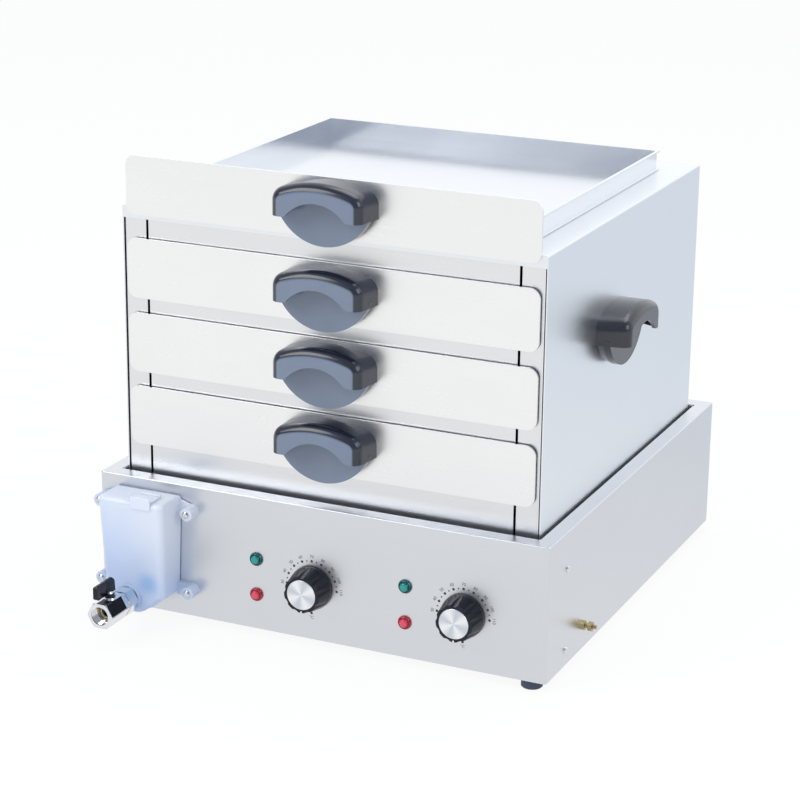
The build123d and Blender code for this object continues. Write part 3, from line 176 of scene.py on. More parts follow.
# ------------------------------------------------------------------ finishes
def brushed_steel(name, colour, across, roughness, depth=1.0, side_along_y=False):
    """Brushed stainless sheet. across gives how fine the grain is along each axis.

    With side_along_y, faces that look along X have their grain along Y instead.
    """
    finish = Finish(name)
    grain = finish.noise(1.0, across, detail=4.0, rough=0.65)
    if side_along_y:
        turned = finish.noise(1.0, (across[1], across[0], across[2]), detail=4.0, rough=0.65)
        sideways = finish.ramp(abs(finish.parts(finish.place("Normal"))[0]), 0.4, 0.6)
        grain = grain + sideways * (turned - grain)
    cloud = finish.noise(9.0, detail=2.0)
    smear = finish.noise(38.0, (0.5, 0.5, 1.4), detail=4.0)
    shade = (grain - 0.5) * 0.22 * depth + (cloud - 0.5) * 0.10 + 0.5
    dark = tuple(channel * 0.86 for channel in colour)
    bright = tuple(min(1.0, channel * 1.10) for channel in colour)
    return finish.surface(
        Base_Color=finish.mix(shade, dark, bright),
        Metallic=1.0,
        Roughness=(grain - 0.5) * 0.16 * depth + (smear - 0.5) * 0.07 + roughness,
        Normal=finish.bump(grain, 0.00006, 0.35 * depth),
    )


def bright_tray_steel(name, colour):
    """Smooth rolled sheet, close to a mirror, with faint rolling lines and a slight wave."""
    finish = Finish(name)
    lines = finish.noise(1.0, (700, 6, 700), detail=3.0)
    wave = finish.noise(7.0, detail=1.0)
    return finish.surface(
        Base_Color=finish.mix(lines, tuple(c * 0.95 for c in colour), colour),
        Metallic=1.0,
        Roughness=(lines - 0.5) * 0.06 + (wave - 0.5) * 0.08 + 0.17,
        Normal=finish.bump(wave * 0.6 + lines * 0.02, 0.0008, 0.25),
    )


def satin_moulding(name, colour, roughness, coat=0.1, gloss=0.3, painted_sheen=None):
    """Dark moulded plastic. Flat front faces may get a painted sheen: a paler colour that stands in
    for the reflection of the floor in front.
    """
    finish = Finish(name)
    grain = finish.noise(2400.0, detail=2.0)
    cloud = finish.noise(45.0, detail=2.0)
    tone = finish.mix(cloud, colour, tuple(channel * 1.5 + 0.002 for channel in colour))
    # Painted sheen: faces that look to the front are made paler in place of a reflection.
    if painted_sheen:
        frontal = finish.ramp(0.0 - finish.parts(finish.place("Normal"))[1], 0.93, 0.995)
        sheen_tone = finish.mix(cloud, painted_sheen, tuple(channel * 0.86 for channel in painted_sheen))
        tone = finish.mix(frontal, tone, sheen_tone)
    return finish.surface(
        Base_Color=tone,
        Roughness=(grain - 0.5) * 0.08 + (cloud - 0.5) * 0.08 + roughness,
        Specular_IOR_Level=gloss,
        Coat_Weight=coat,
        Coat_Roughness=0.08,
        Normal=finish.bump(grain, 0.00002, 0.2),
    )


def blown_polythene(name, fitting):
    """Milky translucent tank wall, bluer where it is low, and where the blue fitting shows through."""
    finish = Finish(name)
    x, _, z = finish.parts()
    halo_x = fitting[0] + 17 * MM
    halo_z = fitting[2] + 13 * MM
    flow = finish.noise(22.0, (1, 1, 0.35), detail=2.0)
    height = finish.ramp(z + (x - fitting[0]) * 0.8, 0.03, 0.15)
    radius = ((x - halo_x) ** 2.0 + (z - halo_z) ** 2.0) ** 0.5
    halo = 1.0 - finish.ramp(radius, 1 * MM, 17 * MM)
    tint = finish.mix(height * 0.8 + (flow - 0.5) * 0.4, (0.56, 0.68, 0.92), (0.86, 0.90, 0.98))
    return finish.surface(
        Base_Color=finish.mix(halo * 0.75, tint, (0.28, 0.50, 0.86)),
        Roughness=(flow - 0.5) * 0.12 + 0.34,
        Alpha=0.84 + (flow - 0.5) * 0.06,
        Coat_Weight=0.2,
        Normal=finish.bump(flow, 0.0012, 0.35),
    )


def plated_brass(name, centre, inside):
    """Nickel-plated body whose bore, inside a radius about the centre line, is bare brass."""
    finish = Finish(name)
    x, _, z = finish.parts()
    radius = ((x - centre[0]) ** 2.0 + (z - centre[2]) ** 2.0) ** 0.5
    bare = 1.0 - finish.ramp(radius, inside - 0.4 * MM, inside)
    cloud = finish.noise(120.0, detail=3.0)
    plate = finish.mix(cloud, (0.74, 0.76, 0.79), (0.88, 0.89, 0.90))
    brass = finish.mix(cloud, (0.58, 0.46, 0.28), (0.76, 0.65, 0.45))
    return finish.surface(
        Base_Color=finish.mix(bare, plate, brass),
        Metallic=1.0,
        Roughness=(cloud - 0.5) * 0.10 + bare * 0.14 + 0.13,
        Normal=finish.bump(finish.noise(900.0, detail=2.0), 0.00003, 0.3),
    )


def turned_metal(name, colour, roughness):
    """Screws, nuts and tubes: plain metal with a fine uneven skin."""
    finish = Finish(name)
    cloud = finish.noise(260.0, detail=3.0)
    return finish.surface(
        Base_Color=finish.mix(cloud, tuple(c * 0.82 for c in colour), colour),
        Metallic=1.0,
        Roughness=(cloud - 0.5) * 0.14 + roughness,
        Normal=finish.bump(cloud, 0.00004, 0.4),
    )


# How many painted fans of light a spun disc has, and how far they are turned.
DISC_FANS = 4.0
DISC_FAN_TURN = 1.9
DISC_RINGS = 16000.0


def spun_disc(name, centre):
    """Lathe-turned aluminium face with fine rings. The fans of light that the rings throw are a
    painted highlight in its colour.
    """
    finish = Finish(name)
    x, _, z = finish.parts()
    across = x - centre[0]
    up = z - centre[2]
    radius = (across ** 2.0 + up ** 2.0) ** 0.5
    angle = finish.node("ShaderNodeMath", {"operation": "ARCTAN2"}, {0: up, 1: across})
    around = angle * DISC_FANS - DISC_FAN_TURN
    painted_fan = finish.node("ShaderNodeMath", {"operation": "COSINE"}, {0: around})
    rings = finish.node("ShaderNodeMath", {"operation": "SINE"}, {0: radius * DISC_RINGS})
    # Painted highlight: the fans of light are painted into the base colour.
    shade = painted_fan * 0.36 + rings * 0.05 + 0.56
    return finish.surface(
        Base_Color=finish.mix(shade, (0.56, 0.61, 0.68), (0.97, 0.98, 0.99)),
        Metallic=1.0,
        Roughness=rings * 0.04 + 0.30,
        Normal=finish.bump(rings, 0.00002, 0.5),
    )


def lamp_lens(name, rim, core, centre):
    """Moulded lamp lens, lighter at its crown than at its rim."""
    finish = Finish(name)
    x, _, z = finish.parts()
    radius = ((x - centre[0]) ** 2.0 + (z - centre[2]) ** 2.0) ** 0.5
    haze = finish.noise(600.0, detail=2.0)
    crown = 1.0 - finish.ramp(radius, 2.6 * MM, 5.0 * MM)
    return finish.surface(
        Base_Color=finish.mix(crown, rim, core),
        Roughness=(haze - 0.5) * 0.06 + 0.16,
        Coat_Weight=0.3,
        Coat_Roughness=0.08,
        Emission_Color=finish.mix(crown, rim, core),
        Emission_Strength=0.08,
        Normal=finish.bump(haze, 0.00002, 0.3),
    )


def plain_coat(name, colour, roughness):
    """Painted, rubbery or printed surfaces, with a fine skin of their own."""
    finish = Finish(name)
    grain = finish.noise(1500.0, detail=3.0)
    lifted = tuple(min(1.0, channel * 1.18 + 0.006) for channel in colour)
    return finish.surface(
        Base_Color=finish.mix(grain, colour, lifted),
        Roughness=(grain - 0.5) * 0.12 + roughness,
        Normal=finish.bump(grain, 0.00003, 0.35),
    )


def dress(material, *names):
    """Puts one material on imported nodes."""
    for name in names:
        mesh = NODES[name].data
        mesh.materials.clear()
        mesh.materials.append(material)


TAP = middle("tap_body")
# How fine a brushed grain is on each axis: long along one, fine across the others.
ALONG_X = (9, 900, 900)
ALONG_Y = (900, 9, 900)

STEEL_BASE = brushed_steel("base_steel", (0.74, 0.755, 0.785), ALONG_X, 0.33, 0.8, True)
STEEL_WELL = brushed_steel("well_steel", (0.70, 0.72, 0.76), ALONG_Y, 0.28)
STEEL_CABINET = brushed_steel("cabinet_steel", (0.86, 0.89, 0.93), ALONG_Y, 0.32, depth=0.35)
STEEL_FRONT = brushed_steel("front_steel", (0.80, 0.81, 0.825), ALONG_X, 0.30)
STEEL_FASCIA = brushed_steel("fascia_steel", (0.92, 0.92, 0.92), ALONG_X, 0.30)
STEEL_TRAY = bright_tray_steel("tray_steel", (0.86, 0.88, 0.91))
TRAY_BLACK = (0.006, 0.009, 0.020)
# The painted sheen on the tray handles' front faces: a paler colour standing in for a reflection.
HANDLE_PAINTED_SHEEN = (0.17, 0.215, 0.30)
TRAY_HANDLE = satin_moulding("tray_handle_black", TRAY_BLACK, 0.22, 0.3, 0.6, HANDLE_PAINTED_SHEEN)
BLACK_HANDLE = satin_moulding("handle_black", (0.008, 0.010, 0.018), 0.24, 0.3, 0.6)
BLACK_KNOB = satin_moulding("knob_black", (0.004, 0.005, 0.010), 0.28, 0.05)
BLACK_LEVER = satin_moulding("lever_black", (0.003, 0.004, 0.009), 0.26)
BLACK_PLATE = satin_moulding("plate_black", (0.003, 0.003, 0.006), 0.40, 0.0, 0.15)
POLYTHENE = blown_polythene("tank_polythene", middle("bulkhead_fitting"))
TAP_PLATE = plated_brass("tap_plate", TAP, 0.0085)
BRASS = turned_metal("turned_brass", (0.50, 0.40, 0.22), 0.30)
SCREW_STEEL = turned_metal("screw_steel", (0.84, 0.85, 0.87), 0.18)
ELEMENT = turned_metal("element_steel", (0.46, 0.45, 0.44), 0.36)
RUBBER = plain_coat("foot_rubber", (0.040, 0.050, 0.085), 0.55)
GLAND = plain_coat("gland_nylon", (0.022, 0.022, 0.024), 0.42)
BAKELITE = plain_coat("thermostat_bakelite", (0.030, 0.026, 0.022), 0.40)
CERAMIC = plain_coat("terminal_ceramic", (0.80, 0.79, 0.75), 0.45)
BLUE_NYLON = plain_coat("fitting_blue", (0.08, 0.28, 0.78), 0.34)
SILICONE = plain_coat("hose_silicone", (0.82, 0.84, 0.84), 0.38)
PTFE = plain_coat("seat_ptfe", (0.90, 0.90, 0.88), 0.40)
INK = plain_coat("dial_ink", (0.035, 0.035, 0.040), 0.55)
WHITE_MARK = plain_coat("pointer_white", (0.90, 0.90, 0.89), 0.45)

dress(STEEL_BASE, "base_shell", "bottom_cover")
dress(STEEL_WELL, "water_pan", "pan_ledges")
dress(STEEL_CABINET, "cabinet_shell", "cabinet_back", "drawer_runners")
dress(STEEL_FRONT, "front_posts", "cross_rails", "lower_panel")
dress(STEEL_FASCIA, *[f"{tray}_tray_fascia" for tray in TRAYS])
dress(STEEL_TRAY, *[f"{tray}_tray_pan" for tray in TRAYS])
dress(BLACK_HANDLE, "side_handle_left", "side_handle_right")
dress(TRAY_HANDLE, *[f"{tray}_tray_handle" for tray in TRAYS])
dress(SCREW_STEEL, "side_handle_screws", "tank_screws", "shell_screws", "knob_left_shaft")
dress(SCREW_STEEL, "knob_right_shaft", *[f"{tray}_tray_screws" for tray in TRAYS])
dress(BLACK_KNOB, "knob_left", "knob_right")
dress(spun_disc("disc_left", middle("knob_left_disc")), "knob_left_disc")
dress(spun_disc("disc_right", middle("knob_right_disc")), "knob_right_disc")
dress(POLYTHENE, "sight_tank", "filler_flap")
dress(TAP_PLATE, "tap_body", "tap_tail", "tap_ball", "tap_stem")
dress(BLACK_LEVER, "tap_handle")
dress(BRASS, "bonding_stud", "heater_nuts")
dress(ELEMENT, "heater_left", "heater_right", "sensor_bulbs")
dress(RUBBER, "feet", "tap_washer")
dress(GLAND, "cable_gland")
dress(BAKELITE, "thermostat_left", "thermostat_right")
dress(CERAMIC, "terminal_block")
dress(BLUE_NYLON, "bulkhead_fitting")
dress(SILICONE, "feed_pipe")
dress(PTFE, "tap_seats")
dress(plain_coat("lamp_green", (0.0, 0.30, 0.24), 0.2), "green_lamps")
dress(plain_coat("lamp_red", (0.70, 0.03, 0.05), 0.2), "red_lamps")


# ------------------------------------------------------------------ modelling helpers
FRONTWARD = (0, -1, 0)
MERGE_GAP = 0.01
FLAT_WITHIN = 0.6
EASE_SEGMENTS = 2
EASE_ANGLE = 34


def only(*pieces):
    """Selects these pieces alone; the first is active."""
    bpy.ops.object.select_all(action="DESELECT")
    for piece in pieces:
        piece.select_set(True)
    bpy.context.view_layer.objects.active = pieces[0]


def edit(piece, mode="FACE"):
    """Opens a piece in edit mode with nothing selected."""
    only(piece)
    bpy.ops.object.mode_set(mode="EDIT")
    bpy.ops.mesh.select_mode(type=mode)
    bpy.ops.mesh.select_all(action="DESELECT")


def done(piece, smooth_angle=35):
    """Back to object mode, with place and turn in the mesh and smooth shading."""
    if bpy.context.mode != "OBJECT":
        bpy.ops.object.mode_set(mode="OBJECT")
    only(piece)
    bpy.ops.object.transform_apply(location=True, rotation=True, scale=True)
    bpy.ops.object.shade_smooth_by_angle(angle=math.radians(smooth_angle))
    return piece


def keep_modifier(piece, kind, **settings):
    """Adds a modifier and applies it."""
    only(piece)
    modifier = piece.modifiers.new(kind.lower(), kind)
    for key, value in settings.items():
        setattr(modifier, key, value)
    bpy.ops.object.modifier_apply(modifier=modifier.name)


def named(piece, name, material, body, slot):
    """Gives a piece its name, finish and body."""
    piece.name = name
    piece.data.name = name
    piece.data.materials.clear()
    piece.data.materials.append(material)
    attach(piece, body)


def joined(pieces):
    """Several meshes as one."""
    only(*pieces)
    bpy.ops.object.join()
    return bpy.context.object


def softened(node, material, body, slot, edge):
    """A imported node's shape with its sharp edges eased by edge in mm, in the node's place."""
    name = node + "_eased"
    piece = bpy.data.objects.new(name, NODES[node].data.copy())
    bpy.context.scene.collection.objects.link(piece)
    edit(piece)
    bpy.ops.mesh.select_all(action="SELECT")
    bpy.ops.mesh.remove_doubles(threshold=MERGE_GAP * MM)
    bpy.ops.mesh.dissolve_limited(angle_limit=math.radians(FLAT_WITHIN))
    bpy.ops.object.mode_set(mode="OBJECT")
    keep_modifier(
        piece,
        "BEVEL",
        width=edge * MM,
        segments=EASE_SEGMENTS,
        limit_method="ANGLE",
        angle_limit=math.radians(EASE_ANGLE),
        use_clamp_overlap=True,
        miter_outer="MITER_ARC",
    )
    done(piece, EASE_ANGLE)
    keep_modifier(piece, "WEIGHTED_NORMAL", mode="FACE_AREA", weight=100, keep_sharp=True)
    named(piece, name, material, body, slot)
    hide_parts(node)


def grown(steps):
    """Extrudes and scales the selected outline through its steps: (height, radius) in mm."""
    height, radius = steps[0]
    for next_height, next_radius in steps[1:]:
        rise = (0, 0, (next_height - height) * MM)
        bpy.ops.mesh.extrude_region_move(TRANSFORM_OT_translate={"value": rise})
        ratio = next_radius / radius
        centre = (0, 0, next_height * MM)
        bpy.ops.transform.resize(value=(ratio, ratio, 1), center_override=centre)
        height, radius = next_height, next_radius


def closed():
    """Turns all faces of the piece in edit mode outwards and leaves edit mode."""
    bpy.ops.mesh.select_all(action="SELECT")
    bpy.ops.mesh.normals_make_consistent(inside=False)
    bpy.ops.object.mode_set(mode="OBJECT")


def stepped(steps, at, axis, sides=48):
    """A round piece grown from a disc: steps are (height, radius) in mm along the axis."""
    height, radius = steps[0]
    bpy.ops.mesh.primitive_circle_add(vertices=sides, radius=radius * MM, fill_type="NGON")
    piece = bpy.context.object
    edit(piece)
    bpy.ops.mesh.select_all(action="SELECT")
    bpy.ops.transform.translate(value=(0, 0, height * MM))
    grown(steps)
    closed()
    piece.rotation_mode = "QUATERNION"
    piece.rotation_quaternion = Vector(axis).to_track_quat("Z", "X")
    piece.location = at
    return done(piece)


def eased_block(size, at, turn, edge):
    """A block with eased edges: size and edge in mm, its middle in metres, its turn in degrees."""
    bpy.ops.mesh.primitive_cube_add(size=1)
    piece = bpy.context.object
    piece.scale = [length * MM for length in size]
    piece.rotation_euler = [math.radians(angle) for angle in turn]
    piece.location = at
    done(piece)
    keep_modifier(piece, "BEVEL", width=edge * MM, segments=2)
    return done(piece)


# ------------------------------------------------------------------ tank screws
SCREW_SHANK_R = 1.9
SCREW_SHANK_L = 18.0
SCREW_HEAD_R = 3.6
SCREW_HEAD_RISE = 2.2
RECESS_W = 1.0
RECESS_TURNS = (45, 135)
SMALLEST_FACE = 4.0


def cross_recess(piece, at, axis, reach, depth):
    """Cuts a cross-shaped driver recess into a screw head."""
    cutters = []
    for angle in RECESS_TURNS:
        bpy.ops.mesh.primitive_cube_add(size=1)
        bar = bpy.context.object
        bar.scale = (2 * reach * MM, RECESS_W * MM, 2 * depth * MM)
        bar.rotation_mode = "QUATERNION"
        turn = Matrix.Rotation(math.radians(angle), 4, "Z").to_quaternion()
        bar.rotation_quaternion = Vector(axis).to_track_quat("Z", "X") @ turn
        bar.location = at
        cutters.append(done(bar))
    for cutter in cutters:
        keep_modifier(piece, "BOOLEAN", operation="DIFFERENCE", object=cutter, solver="EXACT")
        bpy.data.objects.remove(cutter, do_unlink=True)
    return done(piece)


def screw_seats(node):
    """Seats for heads that face the front: one for each loose face of the node's screws.

    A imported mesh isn't merged, so a screw has several loose faces. Each gives a seat of its own, a
    head's rise behind its front end, and faces smaller than SMALLEST_FACE in mm give none.
    """
    mesh = bmesh.new()
    mesh.from_mesh(NODES[node].data)
    seats = []
    met = set()
    for start in mesh.verts:
        if start in met:
            continue
        met.add(start)
        island = [start]
        for vert in island:
            for edge in vert.link_edges:
                other = edge.other_vert(vert)
                if other not in met:
                    met.add(other)
                    island.append(other)
        low = Vector([min(vert.co[k] for vert in island) for k in range(3)])
        high = Vector([max(vert.co[k] for vert in island) for k in range(3)])
        if (high - low).length > SMALLEST_FACE * MM:
            seat = (low + high) / 2
            seat.y = low.y + SCREW_HEAD_RISE * MM
            seats.append(seat)
    mesh.free()
    return seats


def crossed_screws(node):
    """Pan-head screws with cross recesses at a node's screw seats. The node stays in view."""
    outward = Vector(FRONTWARD)
    head, rise = SCREW_HEAD_R, SCREW_HEAD_RISE
    steps = [(-SCREW_SHANK_L, SCREW_SHANK_R), (0, SCREW_SHANK_R), (0, head)]
    steps += [(rise * 0.45, head * 0.98), (rise * 0.8, head * 0.78), (rise, head * 0.45)]
    screws = []
    for seat in screw_seats(node):
        screw = stepped(steps, seat, outward, sides=32)
        top = seat + outward * rise * MM
        screws.append(cross_recess(screw, top, outward, head * 0.66, rise * 0.6))
    named(joined(screws), node + "_crossed", SCREW_STEEL, "base", "screw_steel")


# ------------------------------------------------------------------ dials
DIAL_DOT_RING = 27.0
DIAL_NUMBER_RING = 31.6
DIAL_NUMBERS = range(30, 111, 10)
DIAL_TEXT = 4.4
DIAL_DOT_R = 1.35
DIAL_TICK_R = 0.75
PRINT_T = 0.06
KNOB_RIM = 18.3
POINTER_W = 1.5
POINTER_L = 4.7
POINTER_T = 1.6
POINTER_LEAN = 11.0
POINTER_RISE = 0.35
POINTER_INSET = 0.1
POINTER_EDGE = 0.15


def on_panel(centre, ring, angle):
    """A point on the front panel at a ring radius in mm and an angle from 3 o'clock."""
    across = math.cos(angle) * ring * MM
    up = math.sin(angle) * ring * MM
    return Vector((centre.x + across, PANEL_Y, centre.z + up))


def printed_dot(at, radius):
    """A thin raised dot on the front panel."""
    return stepped([(0, radius), (PRINT_T, radius)], at, FRONTWARD, sides=20)


def printed_text(words, at, turn):
    """Thin raised lettering on the front panel, turned clockwise by an angle."""
    bpy.ops.object.text_add(location=(0, 0, 0))
    text = bpy.context.object
    text.data.body = words
    text.data.size = DIAL_TEXT * MM
    text.data.align_x = "CENTER"
    text.data.align_y = "CENTER"
    text.data.extrude = PRINT_T * MM / 2
    only(text)
    bpy.ops.object.convert(target="MESH")
    text = bpy.context.object
    upright = Matrix.Rotation(math.radians(90), 4, "X")
    text.matrix_world = Matrix.Translation(at) @ Matrix.Rotation(turn, 4, "Y") @ upright
    return done(text)


def dial_scale(side):
    """A dial's print: a dot at each number, a smaller one between, and °C below the knob."""
    centre = middle("knob_" + side)
    step = math.pi / (2 * (len(DIAL_NUMBERS) - 1))
    marks = []
    for index in range(2 * len(DIAL_NUMBERS) - 1):
        radius = DIAL_DOT_R if index % 2 == 0 else DIAL_TICK_R
        at = on_panel(centre, DIAL_DOT_RING, math.pi - index * step)
        marks.append(printed_dot(at, radius))
    for index, number in enumerate(DIAL_NUMBERS):
        angle = math.pi - 2 * index * step
        at = on_panel(centre, DIAL_NUMBER_RING, angle)
        marks.append(printed_text(str(number), at, math.pi / 2 - angle))
    below = -math.pi / 2
    marks.append(printed_dot(on_panel(centre, DIAL_DOT_RING, below), DIAL_DOT_R))
    marks.append(printed_text("°C", on_panel(centre, DIAL_NUMBER_RING, below), 0))
    named(joined(marks), "dial_scale_" + side, INK, "base", "gland_black")


def pointer_mark(side):
    """The white insert that fills the notch in the knob's rim, at 6 o'clock when off."""
    low, high = corners("knob_" + side)
    centre = (low + high) / 2
    back = POINTER_L / 2 + POINTER_INSET
    drop = KNOB_RIM - POINTER_T / 2 + POINTER_RISE
    at = (centre.x, low.y + back * MM, centre.z - drop * MM)
    size = (POINTER_W, POINTER_L, POINTER_T)
    mark = eased_block(size, at, (-POINTER_LEAN, 0, 0), POINTER_EDGE)
    named(mark, "pointer_" + side, WHITE_MARK, "dial_" + side, "terminal_white")


# ------------------------------------------------------------------ lamps
LAMP_BARREL = [(-18, 4.2), (-13, 4.2), (-13, 5.8), (0, 5.8)]
LAMP_DOME = [(3.4, 4.6), (4.4, 3.9), (5.0, 2.8), (5.1, 1.2)]
LAMP_EDGE = 0.18


def lamp_pair(node, rim, core, slot):
    """Two pilot lamps: a chamfered bezel with a domed lens in it, in one node's place."""
    low, high = corners(node)
    radius = (high.z - low.z) / 2 / MM
    bezel = [(0, radius), (1.2, radius), (2.6, radius - 0.9), (3.0, radius - 1.5)]
    groove = [(2.2, radius - 1.9)]
    for index, x in enumerate((low.x + radius * MM, high.x - radius * MM)):
        at = Vector((x, PANEL_Y, (low.z + high.z) / 2))
        lamp = stepped(LAMP_BARREL + bezel + groove + LAMP_DOME, at, FRONTWARD)
        keep_modifier(lamp, "BEVEL", width=LAMP_EDGE * MM, segments=2, limit_method="ANGLE")
        finish = lamp_lens(f"{node}_lens_{index}", rim, core, at)
        named(done(lamp), f"{node}_{index}", finish, "base", slot)
    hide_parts(node)


# ------------------------------------------------------------------ tap
THREAD_BORE = 9.28
THREAD_CREST = THREAD_BORE - 1.0
THREAD_ROOT = THREAD_BORE - 0.1
THREAD_PITCH = 1.81
THREAD_TURNS = 5
THREAD_TURN = ((0.4, THREAD_CREST), (0.55, THREAD_CREST), (0.95, THREAD_ROOT))
THREAD_LEAD = 0.4
THREAD_FIRST = 0.6
THREAD_INSET = 0.3
PLATE_SIZE = (13.2, 26.0, 0.2)
PLATE_EDGE = 0.09
PLATE_TILT = 30
PLATE_REACH = 12.4
PLATE_LIFT = 0.08
PLATE_ALONG = 14.6


def tap_thread():
    """The female thread in the tap's open end: rings of a pipe thread's pitch.

    THREAD_TURN is a ring's outline: a share of the pitch, and the radius there in mm.
    """
    front = corners("tap_body")[0].y
    steps = [(0, THREAD_BORE), (THREAD_LEAD, THREAD_BORE)]
    for turn in range(THREAD_TURNS):
        start = THREAD_FIRST + turn * THREAD_PITCH
        steps += [(start + THREAD_PITCH * share, radius) for share, radius in THREAD_TURN]
    bpy.ops.mesh.primitive_circle_add(vertices=64, radius=THREAD_BORE * MM, fill_type="NOTHING")
    ring = bpy.context.object
    edit(ring, "EDGE")
    bpy.ops.mesh.select_all(action="SELECT")
    grown(steps)
    bpy.ops.mesh.select_all(action="DESELECT")
    mesh = bmesh.from_edit_mesh(ring.data)
    for edge in mesh.edges:
        edge.select_set(edge.is_boundary)
    bmesh.update_edit_mesh(ring.data)
    bpy.ops.mesh.bridge_edge_loops()
    closed()
    ring.rotation_euler = (math.radians(-90), 0, 0)
    ring.location = (TAP.x, front + THREAD_INSET * MM, TAP.z)
    named(done(ring), "tap_thread", TAP_PLATE, "base", "tap_chrome")


def tap_label():
    """The bare black plate on the tap's upper right flat.

    PLATE_REACH is the flat's distance from the tap's centre line, PLATE_ALONG its middle's from the
    open end.
    """
    front = corners("tap_body")[0].y
    tilt = math.radians(PLATE_TILT)
    outward = Vector((math.cos(tilt), 0, math.sin(tilt)))
    on_line = Vector((TAP.x, front + PLATE_ALONG * MM, TAP.z))
    at = on_line + outward * ((PLATE_REACH + PLATE_LIFT) * MM)
    # A plain thin black plate: it makes this part of the flat dark.
    plate = eased_block(PLATE_SIZE, at, (0, 90 - PLATE_TILT, 0), PLATE_EDGE)
    named(plate, "tap_label", BLACK_PLATE, "base", "gland_black")


# ------------------------------------------------------------------ the added pieces
SHEET_EASE = 0.3
CAST_EASE = 0.3
MOULDED_EASE = 0.4

for side in ("left", "right"):
    dial_scale(side)
    pointer_mark(side)
crossed_screws("tank_screws")
lamp_pair("green_lamps", (0.0, 0.075, 0.080), (0.0, 0.27, 0.25), "green_lens")
lamp_pair("red_lamps", (0.34, 0.015, 0.035), (0.66, 0.06, 0.10), "red_lens")
tap_thread()
tap_label()
for tray in TRAYS:
    carrier = "top_tray" if tray == "top" else tray + "_drawer"
    softened(tray + "_tray_fascia", STEEL_FASCIA, carrier, "fascia_steel", SHEET_EASE)
softened("tap_body", TAP_PLATE, "base", "tap_chrome", CAST_EASE)
softened("tap_handle", BLACK_LEVER, "tap_lever", "lever_black", MOULDED_EASE)

# ------------------------------------------------------------------ camera
# The lens and the place come from the photograph's own perspective.
FOCAL_PX = 2408.68
IMAGE_PX = 800
SENSOR_MM = 36.0
CAMERA_AT = Vector((0.968447, -2.145003, 0.949826))
YAW, PITCH, ROLL = (math.radians(a) for a in (24.4541, 17.7477, 0.6845))


def add_camera():
    """The camera at the photograph's viewing angle."""
    data = bpy.data.cameras.new("camera")
    data.sensor_width = SENSOR_MM
    data.lens = FOCAL_PX / IMAGE_PX * SENSOR_MM
    data.clip_end = 50
    camera = bpy.data.objects.new("camera", data)
    bpy.context.scene.collection.objects.link(camera)
    level_reach = math.cos(PITCH)
    ahead = Vector((-math.sin(YAW) * level_reach, math.cos(YAW) * level_reach, -math.sin(PITCH)))
    level = Vector((math.cos(YAW), math.sin(YAW), 0))
    raised = level.cross(ahead)
    right = math.cos(ROLL) * level + math.sin(ROLL) * raised
    up = math.cos(ROLL) * raised - math.sin(ROLL) * level
    turn = Matrix((right, up, -ahead)).transposed().to_4x4()
    camera.matrix_world = Matrix.Translation(CAMERA_AT) @ turn
    bpy.context.scene.camera = camera


# ------------------------------------------------------------------ stage and light
FLOOR_SIZE = 30


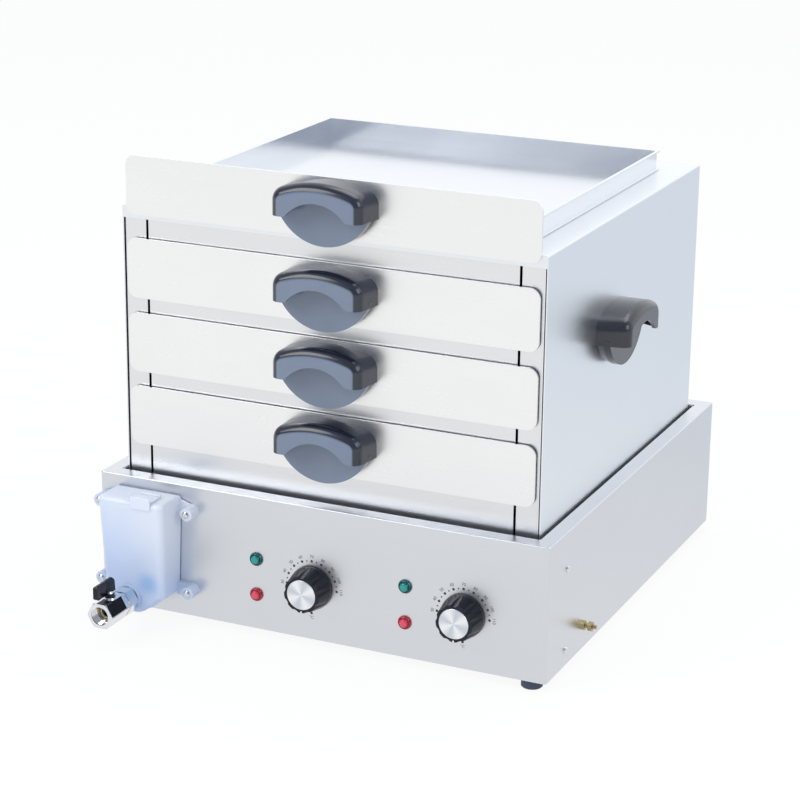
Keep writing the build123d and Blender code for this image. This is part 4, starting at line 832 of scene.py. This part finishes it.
def add_floor():
    """A pale floor that keeps the shadow. In metal it looks paler in front and bluer behind."""
    bpy.ops.mesh.primitive_plane_add(size=FLOOR_SIZE, location=(0, 0, 0))
    floor = bpy.context.object
    floor.name = "floor"
    finish = Finish("floor_white")
    path = finish.node("ShaderNodeLightPath")
    outputs = path.socket.node.outputs
    seen = Field(finish, outputs["Is Camera Ray"])
    mirrored = Field(finish, outputs["Is Glossy Ray"])
    through = Field(finish, outputs["Is Transmission Ray"])
    along = finish.parts()[1]
    ahead = 1.0 - finish.ramp(along, -1.0, -0.45)
    behind = finish.ramp(along, -0.2, 1.2)
    near = finish.mix(behind, (0.90, 0.905, 0.915), (0.74, 0.79, 0.86))
    tone = finish.mix(ahead, near, (1.03, 1.03, 1.02))
    glow_colour = finish.mix(mirrored, (1.0, 1.0, 1.0), tone)
    plain = finish.node("ShaderNodeBsdfDiffuse", inputs={"Color": (0.86, 0.87, 0.88, 1)})
    glow = finish.node("ShaderNodeEmission", inputs={"Color": glow_colour})
    share = seen * 0.90 + mirrored * 0.94 + through * 0.9
    mixed = finish.node("ShaderNodeMixShader", inputs={0: share, 1: plain, 2: glow})
    finish.tree.links.new(mixed.socket, finish.output.inputs["Surface"])
    floor.data.materials.append(finish.material)


class Room(Finish):
    """The world's own shader, written like a material."""

    def __init__(self, name):
        world = bpy.data.worlds.new(name)
        bpy.context.scene.world = world
        world.use_nodes = True
        self.tree = world.node_tree
        self.tree.nodes.clear()
        self.output = self.tree.nodes.new("ShaderNodeOutputWorld")


def add_world():
    """White to the camera, a darker card in the metal, and a soft sky for light."""
    room = Room("soft_room")
    _, y, z = room.parts(room.place("Generated"))
    outputs = room.node("ShaderNodeLightPath").socket.node.outputs
    seen = Field(room, outputs["Is Camera Ray"])
    mirrored = Field(room, outputs["Is Glossy Ray"])
    sky = room.mix(room.ramp(z, 0.0, 0.75), (0.60, 0.64, 0.71), (0.83, 0.84, 0.86))
    card = room.mix(room.ramp(y, -0.3, 0.7), (0.38, 0.42, 0.50), (1.06, 1.08, 1.11))
    colour = room.mix(seen, room.mix(mirrored, sky, card), (1.0, 1.0, 1.0))
    glow = room.node("ShaderNodeBackground", inputs={"Color": colour})
    room.tree.links.new(glow.socket, room.output.inputs["Surface"])


def add_softbox(name, at, towards, size, watts, colour):
    """A rectangular area light at a place, aimed at a point."""
    data = bpy.data.lights.new(name, "AREA")
    data.shape = "RECTANGLE"
    data.size, data.size_y = size
    data.energy = watts
    data.color = colour
    lamp = bpy.data.objects.new(name, data)
    bpy.context.scene.collection.objects.link(lamp)
    lamp.location = at
    lamp.rotation_euler = (Vector(towards) - Vector(at)).to_track_quat("-Z", "Y").to_euler()


add_camera()
add_floor()
add_world()
add_softbox("key", (-1.6, -2.2, 2.2), (0, 0, 0.2), (1.6, 1.6), 34, (1.0, 0.99, 0.97))
add_softbox("fill", (2.4, -0.8, 1.6), (0, 0, 0.2), (1.4, 1.4), 16, (0.93, 0.96, 1.0))
add_softbox("top", (0.2, 0.6, 2.6), (0, 0, 0.3), (1.8, 1.8), 20, (0.96, 0.98, 1.0))

bpy.context.scene.view_settings.view_transform = "Standard"
